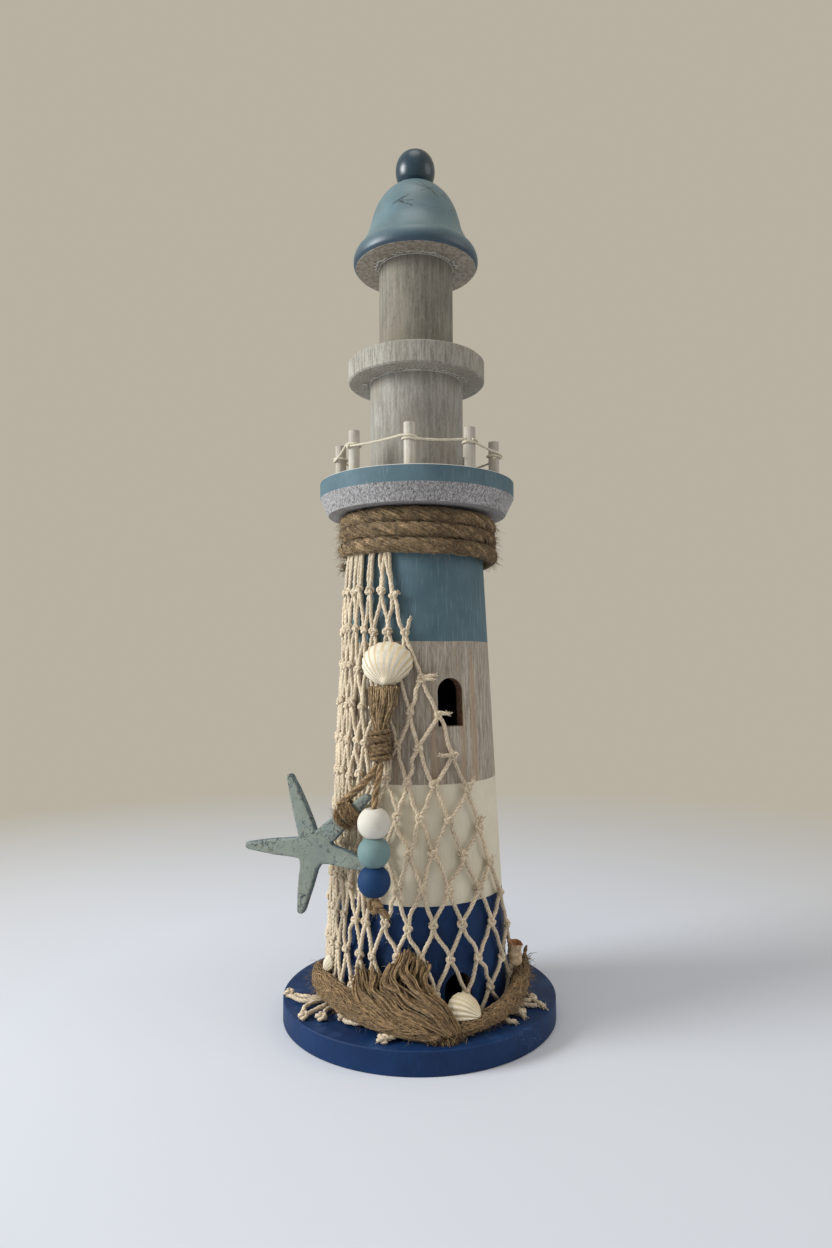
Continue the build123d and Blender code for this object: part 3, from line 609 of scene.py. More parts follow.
def star_finish():
    """Chalky paint, chipped to blue and dark at the edges, with cracks in the face."""
    f = Finish("star_finish", 0.7)
    colour = f.paint((132, 139, 127), (114, 121, 111), (160, 165, 152), 0.8)
    colour = f.mix(f.blotch(70, 4, (0.50, 0.0), (0.66, 0.6)), colour, (112, 124, 124))
    toward = {0: f.made("ShaderNodeTexCoord", output="Normal"), 1: facing(PENDANT)[2].tolist()}
    front = f.made("ShaderNodeVectorMath", toward, "Value", operation="DOT_PRODUCT")
    chipped = f.ramp(front, (0.35, 1.0), (0.85, 0.0)) * f.blotch(500, 3, (0.42, 0.25), (0.56, 1.0))
    colour = f.mix(chipped, colour, (96, 120, 134))
    patch = f.math("MAXIMUM", f.blotch(75, 3, (0.46, 0.15), (0.58, 0.9)), f.ramp(front, (0.2, 1.0), (0.98, 0.0)))
    colour = f.mix(f.blotch(430, 5, (0.54, 0.0), (0.60, 1.0), 0.75) * patch, colour, (52, 58, 64))
    crack = (abs(f.noise(130, 3, 0.5, 2.2) - 0.5) < 0.013) * f.blotch(60, 2, (0.47, 0.0), (0.53, 1.0))
    return f.done(f.mix(crack, colour, (58, 62, 66)), f.noise(700, 4) - crack * 1.5, 0.0003, 0.7)


def glue_finish():
    f = Finish("glue_finish", 0.35)
    return f.done(f.mix(f.noise(600, 2), (214, 210, 200), (182, 176, 164)), f.noise(900, 2), 0.0001, 0.4)


jute = fibre_finish("jute", (78, 54, 32), (168, 135, 94), (228, 196, 148), tint=0.45, clumps=0.35)
jute_dark = fibre_finish("jute_dark", (74, 54, 34), (186, 153, 110), (244, 216, 170), tint=0.5, clumps=0.45)
jute_twine = fibre_finish("jute_twine", (84, 60, 38), (172, 140, 100), (226, 196, 150),
                          plies=(3, 7.0, 0.42), clumps=0.3)
# Near-black jute: painted shade for the dark layers that sit behind rope and yarn
shade_jute = fibre_finish("shade_jute", (24, 17, 10), (46, 34, 22), (74, 56, 36))
cotton = fibre_finish("cotton", (170, 140, 106), (232, 212, 180), (252, 240, 220),
                      6.0, 1800, 0.00018, 0.12, (3, NET_CORD["pitch"], 0.76))
string_cotton = fibre_finish("string_cotton", (180, 168, 142), (216, 206, 182), (236, 229, 210))
cream_shell = shell_finish("cream_shell", (184, 162, 124), (222, 212, 190), (236, 230, 214), (204, 184, 146))
warm_shell = shell_finish("warm_shell", (208, 188, 150), (232, 220, 194), (242, 234, 214), (214, 194, 156))

# ---- Finishes on the CAD nodes
RIGHT_HALF = (0.91, 0.41)
post_wood = washed_wood("post_wood", (150, 142, 128), (204, 197, 184), 0.05, 0.28, 0.56, 1300, 0.0, 0.0)
finishes = {
    "base_plate": navy_board(), "tower_shell": tower_bands(), "gallery_deck": deck_finish(),
    "lower_drum": washed_wood("lower_wood", (92, 84, 74), (166, 161, 152), 0.10, 0.24, 0.60, 620,
                              density=0.10, side=RIGHT_HALF),
    # The upper drum has the washed wood made darker: painted shade under the roof
    "upper_drum": washed_wood("drum_wood_shaded", (74, 67, 56), (142, 136, 123), 0.10, 0.24, 0.62, 560),
    "upper_ring": washed_wood("ring_wood", (88, 79, 66), (172, 167, 156), 0.10, 0.32, 0.56, 800,
                              4.0, 0.13, RIGHT_HALF),
    "roof_dome": roof_finish(), "finial": finial_finish(),
    "bead_white": bead_finish("bead_white_paint", (214, 208, 196), (196, 189, 175), (230, 226, 217)),
    "bead_aqua": bead_finish("bead_aqua_paint", (114, 138, 137), (98, 122, 122), (140, 163, 160)),
    "bead_navy": bead_finish("bead_navy_paint", (12, 54, 96), (8, 42, 80), (36, 82, 126)),
    **{f"rail_post_{number}": post_wood for number in range(1, 9)},
}
for node, finish in finishes.items():
    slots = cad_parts[node].data.materials
    slots.clear()
    slots.append(finish)


# ---- Roof and finial
def turned(name, profile, foot, node):
    """A piece turned on the lathe from its profile of radii and heights over its foot."""
    sides = 128
    radius, height = np.array(profile).T[..., None]
    angle = np.arange(sides) * tau / sides
    rings = np.stack(np.broadcast_arrays(radius * np.sin(angle), -radius * np.cos(angle), foot + height), -1)
    mesh = make_mesh(name, rings.reshape(-1, 3), grid(len(profile), sides).tolist() + lids(len(profile), sides))
    piece = place(name, mesh, finishes[node], node)
    piece.modifiers.new("edges", "EDGE_SPLIT").split_angle = radians(38)
    apply_modifiers(piece)


def build_roof():
    """The bell and the ball, which the photograph shows rounder at the shoulder and lower than the CAD's."""
    rim = spline([(34.4, 0), (35.7, 1.8), (35.9, 4.6), (35.3, 7.2), (34.3, 9.2)], 22)
    bell = spline([(34.3, 9.2), (31.6, 12.4), (29.2, 16.6), (27.0, 21.6), (25.6, 27.2), (23.7, 33.4),
                   (20.7, 39.4), (17.4, 43.6), (14.0, 46.7), (10.6, 48.7), (7.6, 49.5)], 60)
    crown, mortise = 49.5, [(0.01, 5.2), (7.15, 5.2), (7.15, 0)]
    socket = [(3.2, crown), (3.2, crown - 8.2), (0.01, crown - 8.2)]
    turned("roof_bell", [*mortise, *rim, *bell[1:], *socket], ROOF_BOTTOM, "roof_dome")
    ball = spline([(7.2, 0), (10.1, 3.2), (11.4, 8.4), (10.7, 14.0), (8.1, 18.3), (4.3, 20.5), (0.01, 21.1)], 48)
    turned("finial_ball", [(0.01, -8), (3.0, -8), (3.0, 0), *ball], ROOF_BOTTOM + crown, "finial")


# ---- Net
NET_ROWS, NET_TOP, TOP_MESHES, EDGE_SAG = 12, 231.0, 6, 10.0


def net_bearing(column):
    """Bearing of a column of knots, which spread out towards the right."""
    return float(-38.5 + 8 * column + 18 * (np.log1p(np.exp(column / 1.5)) - log(2)))


def net_height(row):
    return NET_TOP - 20.2 * row + 0.155 * row * row


def net_knots(rng):
    """Bearing, height and lift of each knot, by row and by number from the bias-cut edge."""
    knots = {}
    for row in range(NET_ROWS):
        for k in range(TOP_MESHES + 1 + row):
            drift = min(2.8 * row - 4, 6) if k == 0 else 5 * min(max((row - 5) / 4, 0), 1) if k == 1 else 0
            bearing = net_bearing(row / 2 - k) + drift + rng.normal(0, 0.7)
            z = net_height(row) - EDGE_SAG * (1 - exp(-row / 3)) * exp(-k) + rng.normal(0, 1.0)
            knots[row, k] = (bearing, z - 4.5 * (row == 0 and k == 0), rng.uniform(0.9, 1.6))
    return knots


def cut_end(strands, rng, knot, direction, length):
    """A short cord end that leaves a knot and frays."""
    bearing, z, lift = knot
    right, up, out = facing(bearing)
    way = right * cos(radians(direction)) + up * sin(radians(direction))
    start = on_net(z, lift) * out + z * up
    bend = np.cross(out, way) * rng.uniform(-0.35, 0.35)
    path = spline([start + way * length * a + bend * b + out * c
                   for a, b, c in ((0, 0, 0), (0.4, 0, 1.2), (0.75, 3, 1.8), (1, 6, 1.6))], 12)
    strands.add(path, np.linspace(1.05, 0.95, 12), depth=0.14, **NET_CORD)
    fray = unit(rng.normal(0, 1, (9, 3)) * 0.35 + way)[:, None] * rng.uniform(1.5, 3.2, (9, 1, 1))
    paths = path[-1] - way * 0.8 + fray * np.linspace(0, 1, 5)[:, None] + rng.normal(0, 0.12, (9, 5, 3))
    strands.add(paths, np.linspace(0.34, 0.15, 5), sides=4)


def build_net():
    """Cotton cord in knotted diamonds, from under the collar down to the plate."""
    rng = np.random.default_rng(11)
    knots = net_knots(rng)
    cords, steps, fuzzy = [], 16, 420
    t = np.linspace(0, 1, steps)
    bow = np.sin(pi * t)

    def cord(a, b, lift):
        """A cord between knots, bowed and swaying a little, that stands off the tower by lift in its middle."""
        bearing, z, out = (a[k] + (b[k] - a[k]) * t for k in range(3))
        bearing = (bearing + rng.normal(0, 0.75) * bow + rng.normal(0, 0.5) * np.sin(tau * t)
                   + rng.normal(0, 0.2) * np.sin(2 * tau * t))
        cords.append(around(bearing, on_net(z, out + lift * bow), z))

    for (row, k), here in knots.items():
        if row == 0:
            for side in (-0.5, 0.5):
                up = here[0] - 6.5 + side * 2 if k == 0 else here[0] + side * 3.2
                cord((up, COLLAR_BOTTOM + 2.5, 0.4), here, rng.uniform(0.0, 0.4))
        for side in (-0.5, 0.5):
            below = (row + 1, k + (side < 0))
            if below in knots:
                cord(here, knots[below], rng.uniform(0.0, 0.5))
            else:
                foot = net_bearing(row / 2 - k + side) + (here[0] - net_bearing(row / 2 - k))
                cord(here, (foot, BASE_TOP + 1.2, 0.3), 0.2)
    net = Strands(11)
    cords = np.array(cords)
    net.add(cords, CORD_R, depth=0.16, **NET_CORD)
    loops = []
    for bearing, z, lift in knots.values():
        turn, grow = rng.uniform(0, tau), rng.uniform(0.92, 1.22)
        spot = around(bearing, on_net(z, lift) + 0.35, z)
        loops.append(knot_loop(spot, facing(bearing), 38, 0.62 * grow, 0.58 * grow, 1.0, turn))
    net.add(loops, 0.92, closed=True)
    # Cut ends at the knots of the bias-cut edge: row, direction in degrees from the right, length
    for row, direction, length in ((0, 30, 3), (1, 55, 7), (2, 25, 7), (2, 2, 6.5), (3, 25, 5), (4, 176, 8), (5, 65, 6),
                                   (6, 85, 5), (7, 60, 2.5), (8, 150, 5), (9, 190, 4), (10, 40, 4), (11, 20, 4)):
        cut_end(net, rng, knots[row, 0], direction, length)
    roots = cords[rng.integers(0, len(cords), fuzzy), rng.integers(1, steps - 1, fuzzy)]
    out = unit(roots * LEVEL)
    hairs(net, rng, roots + out * 0.8, out, np.cross(UP, out), 2.2, 0.06, 0.1)
    net.build("net_cords", cotton, "net", "cotton")


def build_tails():
    """Knotted ends of the net's cords, lying on the plate. Each line gives bearings and radii, from the tower out."""
    rng = np.random.default_rng(41)
    tails = Strands(41)
    lines = (
        ((-97, 52), (-98, 61), (-105, 71)), ((-92, 53), (-94, 65), (-104, 72)),
        ((-92, 52), (-91, 60), (-88.5, 66.5), (-81, 71)), ((-84, 53), (-83, 59), (-82, 65), (-80, 72)),
        ((-79, 52), (-80, 58), (-75, 64.5)), ((-50, 51), (-54, 58), (-61, 60), (-67, 57.5)),
        ((-47, 53), (-43, 60), (-39, 64.5), (-39, 69)), ((-38, 55), (-34.5, 62), (-36, 66.5), (-40, 69)),
        ((56, 56), (46.5, 63), (41, 71.5)), ((39, 57), (43, 62), (46.5, 63.5)), ((35, 57), (38.5, 62), (40.5, 67.5)),
        ((38, 56), (29.5, 63.5), (27.5, 67.5)), ((29.5, 64), (25, 59), (20.5, 60.5), (19, 64), (20.5, 68)))
    knots = ((-105, 71.6), (-80.3, 71.5), (-74.5, 65), (-67.5, 57.5), (-39.4, 69.2), (46.4, 63.4), (29.4, 64.0))
    floor = BASE_TOP + 1.25
    for n, line in enumerate(lines):
        bearing, radius = np.array(line, float).T
        z = floor + (1.0 + 0.8 * (n % 2)) * np.linspace(1, 0, len(line))
        path = spline(around(bearing, radius, z), 26)
        path[:, 2] += np.abs(wave(rng, 26, 3)) * 0.5
        tails.add(path, 1.15, depth=0.14, **NET_CORD)
        end, way = path[-1], unit(path[-1] - path[-4])
        hairs(tails, rng, end + rng.normal(0, 0.5, (12, 3)) * [1, 1, 0.3], way, np.cross(way, UP), 2.6, 0.17, 0.3)
    for bearing, radius in knots:
        turn, grow = rng.uniform(0, tau), rng.uniform(0.95, 1.15)
        loop = knot_loop(around(bearing, radius, floor + 1.0), np.eye(3), 40, 0.74 * grow, 0.62 * grow, 0.95, turn)
        tails.add(loop, 1.05, sides=8, lobes=3, depth=0.1, pitch=2.5, closed=True)
    tails.build("net_ends", cotton, "net_tails", "cotton")


# ---- Rope collar and rail string
def build_collar():
    """One rope in three turns, over a dark core that is painted shade."""
    rope, loose, core = Strands(5), Strands(6), Strands()
    rng = rope.rng
    turns, pitch, start, rope_r, ply_r, twist = 3, 8.1, -128, 3.7, 1.95, 36.0
    t = np.linspace(0, turns, 780)
    bearing = 360 * t + start
    sway = waves(rng, (2,), len(t), 9)
    z = np.minimum(TOWER_TOP - 5.2 - pitch * (t - 0.29), TOWER_TOP - 4.3) + sway[0] * 0.55 * np.clip(t, 0, 1)
    centre = around(bearing, tower_radius(z) + 4.1 + sway[1] * 0.35, z)
    out = around(bearing, 1.0, 0.0)
    twisted(rope, centre, out, rope_r, 3, twist, ply_r, 12, 0.12, lobes=5, depth=0.12, pitch=9)
    fibres(rope, centre, out, rope_r + 0.15, twist, 1700, 26, 0.19)
    pick, tilt = rng.integers(0, len(t), 2400), rng.uniform(-1.4, 1.4, (2400, 1))
    roots = centre[pick] + out[pick] * (3.4 * np.cos(tilt)) + UP * (3.6 * np.sin(tilt))
    hairs(loose, rng, roots, out[pick] + UP * np.sin(tilt) * 0.5, tangents(centre)[pick], 5.5, 0.09, 0.3)
    end = centre[-1] + rng.normal(0, 1.4, (90, 3))
    hairs(loose, rng, end, unit(centre[-1] - centre[-8]), out[-1], 7.0, 0.22, 0.3)
    # Rings of painted shade under the rope, which darken the gaps between its turns
    for level in np.linspace(COLLAR_BOTTOM + 3.0, TOWER_TOP - 2.4, 7):
        ring = around(np.linspace(0, 360, 120, endpoint=False), tower_radius(level) + 2.0, level)
        core.add(ring, 1.9, sides=8, closed=True)
    core.build("collar_shade_layer", shade_jute)
    loose.build("collar_fuzz", jute_dark)
    rope.build("collar_rope", jute_dark, "rope_collar")


def build_rail_string():
    """Twine that goes once round each post and sags to the next, with two knots and a short end."""
    rng = np.random.default_rng(3)
    string = Strands()
    posts = [(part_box(f"rail_post_{n}")[0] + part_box(f"rail_post_{n}")[1]) / 2 * 1000 for n in range(1, 9)]
    bearings = [atan2(post.x, -post.y) * 180 / pi for post in posts]
    ring_r, post_r, line_r, level = posts[0].xy.length, 3.0, 0.62, DECK_TOP + 16.0
    reach = post_r + line_r + 0.12
    lay = dict(lobes=2, depth=0.16, pitch=2.2)
    arrive, leave, rise = -22.0, 382.0, 0.75  # turns round a post in degrees, and half of what a turn climbs

    def round_post(bearing, turn):
        right, _, out = facing(bearing)
        return around(bearing, ring_r, level) + reach * swing(np.radians(turn), out, right)

    route = []
    t = np.linspace(0, 1, 12)[1:-1]
    for bearing, after in zip(bearings, bearings[1:] + bearings[:1]):
        wrap = round_post(bearing, np.linspace(arrive, leave, 34))
        wrap[:, 2] += np.linspace(rise, -rise, 34) + rng.normal(0, 0.1)
        span = wrap[-1] + (round_post(after, np.array(arrive)) - wrap[-1]) * t[:, None]
        span[:, 2] += 2 * rise * t - 4 * rng.uniform(0.4, 1.0) * t * (1 - t)
        route += [wrap, span]
    string.add(np.concatenate(route), line_r, sides=8, **lay)
    right, up, out = facing(bearings[1])
    tail = around(bearings[1], ring_r, level - 1.4)
    string.add(spline([tail + out * 3.4, tail - right * 4.0, tail - right * 7.5 - up * 2.4], 12), 0.5, **lay)
    for bearing in (bearings[6], bearings[1]):
        spot = around(bearing, ring_r + reach + 0.3, level - 0.4)
        string.add(knot_loop(spot, facing(bearing), 40, 0.42, 0.36, 0.5), 0.5, closed=True)
    string.build("rail_twine", string_cotton, "rail_string", "cotton")


# ---- Tassel, whipping, star and beads
NECK_SIDE, NECK_DISTANCE, NECK_BOTTOM, NECK_TOP = -1.3, 51.15, 142.5, 159.8
STAR_DISTANCE, STAR_CENTRE, STAR_THICKNESS = 51.71, (-39.3, 97.2), 4.6
ARMS = ((41.8, 43.0), (110.0, 40.0), (182.0, 40.0), (258.4, 35.0), (347.0, 36.0))  # direction and length
BEAD_DISTANCE = 63.0
AWAY = facing(PENDANT)[2]


def build_tassel():
    """Coarse and fine yarns that spread under the collar and gather in the neck."""
    rng = np.random.default_rng(21)
    tassel = Strands(21)
    for count, size, loose, section in ((22, 0.62, 0.5, dict(sides=7, lobes=3, depth=0.2)),
                                        (170, 0.312, 0.9, dict(sides=4))):
        turn = rng.uniform(0, tau, count)
        spread = np.sqrt(rng.uniform(0.1, 1.0, count))
        rows = []
        for z, wide, deep, distance in ((180.6, 8.0, 3.2, 46.9), (173, 7.6, 3.4, 48.0), (166, 5.6, 3.5, 49.6),
                                        (160.5, 3.7, 3.3, 50.8), (152, 3.3, 3.2, NECK_DISTANCE),
                                        (143.5, 3.4, 3.2, NECK_DISTANCE)):
            sway = rng.normal(0, loose, count) * (z > 161)
            side = NECK_SIDE + (wide * spread * np.cos(turn) + sway) * 0.95
            rows.append(hanging(side, z, distance + deep * spread * np.sin(turn)))
        paths = spline(np.stack(rows, 1) + rng.normal(0, 0.25, (count, 6, 3)), 24)
        tassel.add(paths, size, pitch=4.5, **section)
    roots = paths[rng.integers(0, len(paths), 260), rng.integers(1, 20, 260)]
    hairs(tassel, rng, roots, AWAY, UP, 6.0)
    tassel.build("tassel_yarns", jute_dark, "jute_tassel")


def build_whipping():
    """Twine wound round the tassel's neck."""
    rng = np.random.default_rng(22)
    coil, turns, steps = Strands(22), 7, 420
    t = np.linspace(0, turns * tau, steps)
    z = np.linspace(NECK_TOP - 1.6, NECK_BOTTOM + 1.6, steps) + wave(rng, steps, 9) * 0.9
    r = 4.5 + 0.5 * wave(rng, steps, 9)
    centre = hanging(NECK_SIDE + r * np.cos(t), z, NECK_DISTANCE + r * np.sin(t) * 0.95)
    binding(coil, rng, centre, centre - hanging(NECK_SIDE, z, NECK_DISTANCE), 1.15, 0.68, 1.2, 1.4)
    coil.build("whipping_twine", jute, "tassel_whipping")


def star_point(angle, along, off=0.0):
    """Side and height of a point along an arm's direction, and off to its left."""
    c, s = cos(radians(angle)), sin(radians(angle))
    return STAR_CENTRE[0] + along * c - off * s, STAR_CENTRE[1] + along * s + off * c


def build_star():
    """Five tapering arms with blunt tips, cut from board and rounded at the edges."""
    outline = []
    order, tip_r = sorted(ARMS), 2.0
    flank = ((0.30, 5.0), (0.55, 4.2), (0.80, 2.9))  # share of the length, half width
    for (angle, length), (following, _) in zip(order, order[1:] + order[:1]):
        outline += [star_point(angle, length * share, -half) for share, half in flank]
        outline += [star_point(angle, length - tip_r + tip_r * cos(a), tip_r * sin(a))
                    for a in (-pi / 2 + pi * step / 8 for step in range(9))]
        outline += [star_point(angle, length * share, half) for share, half in flank[::-1]]
        outline.append(star_point(angle + ((following - angle) % 360) / 2, 9.3))
    outline = np.array(outline) + np.random.default_rng(8).normal(0, 0.12, (len(outline), 2))
    faces = [hanging(*outline.T, STAR_DISTANCE + side * STAR_THICKNESS / 2) for side in (-1, 1)]
    n = len(outline)
    mesh = make_mesh("starfish_body", np.concatenate(faces), lids(2, n) + grid(2, n).tolist(), smooth=0)
    star = place("starfish_body", mesh, star_finish(), "starfish", "star_pendant")
    remesh = star.modifiers.new("even", "REMESH")
    remesh.mode, remesh.voxel_size, remesh.use_smooth_shade = "VOXEL", 0.00055, True
    relax = star.modifiers.new("round", "SMOOTH")
    relax.factor, relax.iterations = 0.8, 7
    apply_modifiers(star)


def build_star_cord():
    """The twine that the starfish hangs on, and its wrap round the upper arm."""
    rng = np.random.default_rng(23)
    foot = star_point(ARMS[0][0], 26.0, 7.4)
    centre, length = smooth_route(hanging([-2.2, -8.7, foot[0]], [142.3, 130.85, foot[1]], STAR_DISTANCE), 70)
    out = AWAY + 0 * centre
    twine, hair, wrap = Strands(23), Strands(24), Strands(25)
    twine.add(centre, 1.65, sides=18, lobes=3, depth=0.22, pitch=7.0)
    cord = twine.build("star_cord", jute_twine, "star_twine", body="star_pendant")
    fibres(hair, centre, out, 1.72, 9.0, 110, 24, 0.13, 0.10)
    fuzz(hair, rng, centre, out, 70, 1.2, 4.0)
    loose = hair.build("star_cord_fuzz", jute, body="star_pendant")
    turns, steps, half = 6.5, 420, 5.6
    t = np.linspace(0, turns * tau, steps)
    along = 27.5 + np.linspace(-half, half, steps) + 1.2 * wave(rng, steps, 9)
    grow = 1 + 0.09 * wave(rng, steps, 10)
    off, deep = 5.2 * np.cos(t) * grow, 4.4 * np.sin(t) * grow
    centre = hanging(*star_point(ARMS[0][0], along, off), STAR_DISTANCE + deep)
    middle = hanging(*star_point(ARMS[0][0], along), STAR_DISTANCE)
    binding(wrap, rng, centre, centre - middle, 1.12, 0.66, 1.18, 1.2)
    wrap.build("star_binding", jute, "star_wrap", body="star_pendant")


def build_bead_cord():
    """The twine through the beads, with its knot and frayed end under them."""
    rng = np.random.default_rng(24)
    centre, length = smooth_route(hanging(0.0, [142.0, 124.85, 116.0, 74.4], [53.5, *[BEAD_DISTANCE] * 3]), 110)
    out = AWAY + 0 * centre
    bare = 36  # points of the line above the beads
    twine, hair, knot = Strands(26), Strands(27), Strands()
    twine.add(centre, 1.4, sides=18, lobes=3, depth=0.20, pitch=7.0)
    cord = twine.build("bead_cord", jute_twine, "bead_twine", body="bead_string")
    fibres(hair, centre[:bare], out[:bare], 1.45, 7.5, 60, 16, 0.12, 0.10)
    fuzz(hair, rng, centre, out, 60, 1.0, 3.5, bare - 6)
    loose = hair.build("bead_cord_fuzz", jute, body="bead_string")
    loop = knot_loop(hanging(0.4, 74.3, BEAD_DISTANCE), facing(PENDANT), 60, 0.98, 0.86, 1.6)
    knot.add(loop, 1.45, sides=10, lobes=4, depth=0.10, pitch=3.2, closed=True)
    tail = spline(hanging([0.5, 3.4, 5.8, 7.0], [73.8, 72.6, 71.4, 69.6], BEAD_DISTANCE + 0.6), 16)
    knot.add(tail, np.linspace(1.5, 1.75, 16), sides=10, lobes=4, depth=0.12, pitch=3.2)
    side, z, away = rng.uniform(5.6, 7.6, 40), rng.uniform(69.2, 71.2, 40), rng.uniform(-0.8, 1.4, 40)
    hairs(knot, rng, hanging(side, z, BEAD_DISTANCE + away), hanging(0.8, -0.6, 0.2), UP, 3.5, 0.1)
    hairs(knot, rng, loop[rng.integers(0, 60, 80)], AWAY, UP, 4.0, 0.08)
    end = knot.build("bead_cord_knot", jute, body="bead_string")


# ---- Jute round the foot
def roll(strands, count, ends, line, radius, steps, stray):
    """Fibres that run along an arc of bearings. line gives radius, height, half width and half height there."""
    rng = strands.rng
    turn, spread = rng.uniform(0, tau, (count, 1)), np.sqrt(rng.uniform(0.25, 1.0, (count, 1)))
    first = ends[0] + rng.uniform(0, 1, (count, 1)) ** 2 * stray * 2
    last = ends[1] - rng.uniform(0, 1, (count, 1)) ** 2 * stray * 2
    bearing = first + (last - first) * np.linspace(0, 1, steps)
    r, z, wide, high = line(bearing)
    slow = waves(rng, (2, count), steps, 7.0)
    a = turn + slow[0] * 0.75
    s = np.clip(spread + slow[1] * 0.16, 0, 1.12)
    path = around(bearing, r + wide * s * np.cos(a), np.maximum(z + high * s * np.sin(a), BASE_TOP + radius))
    strands.add(path, radius * rng.uniform(0.6, 1.3, (count, 1)), sides=4)
    return path


def left_line(b):
    """The left roll, which sinks towards the front and tapers at its end behind the tower."""
    s = np.clip((b + 80) / 60, 0, 1) ** 1.3
    back = np.clip((-104 - b) / 34, 0, 1)
    return (55.4 + 10.3 * s - 1.6 * back, BASE_TOP + 10.6 - 6.8 * s - 6.6 * back,
            3.7 + 1.8 * s - 1.2 * back, 7.0 - 3.8 * s - 3.4 * back)


def right_line(b):
    """The right roll, which climbs from the front and thickens."""
    c = np.clip((b + 12) / 66, 0, 1)
    return 65.2 - 8.4 * c ** 0.7, BASE_TOP + 3.6 + 4.5 * c + 6.0 * c ** 3, 4.2 + 0 * c, 2.9 + 2.2 * c + 2.6 * c ** 3


def build_garland():
    left, right, core = Strands(31), Strands(32), Strands()
    loose_hairs(left, roll(left, 400, (-172, -19), left_line, 0.36, 40, 9), 900, 6.5)
    left.build("garland_fibres_left", jute, "garland_left")
    paths = roll(right, 300, (-11, 56), right_line, 0.36, 30, 7)
    loose_hairs(right, paths, 620, 6.0)
    ends = paths[right.rng.integers(0, len(paths), 110), -1]
    hairs(right, right.rng, ends, around(100, 1.0, 0.9), UP, 7.5, 0.2, 0.1)
    for bearing, height, lean in ((52.0, 38.5, 2.5), (50.0, 36.5, -1.0)):
        stub = spline(around([bearing - 4, bearing, bearing + lean], np.array([57.5, 58.5, 59.5]),
                             [height - 11, height - 4, height]), 14)
        twisted(right, stub, around(bearing, 1.0, 0.0), 1.1, 2, 7.0, 1.1 * 0.54, 6)
    right.build("garland_fibres_right", jute, "garland_right")
    # Near-black tubes inside the rolls: painted shade between their fibres
    for line, first, last in ((left_line, -170, -24), (right_line, -10, 52)):
        b = np.linspace(first, last, 60)
        r, z, wide, high = line(b)
        for share in (-0.42, 0.0, 0.42):
            core.add(around(b, r - 0.2, z + high * share), 0.62 * wide, sides=10)
    core.build("garland_shade_layer", shade_jute)


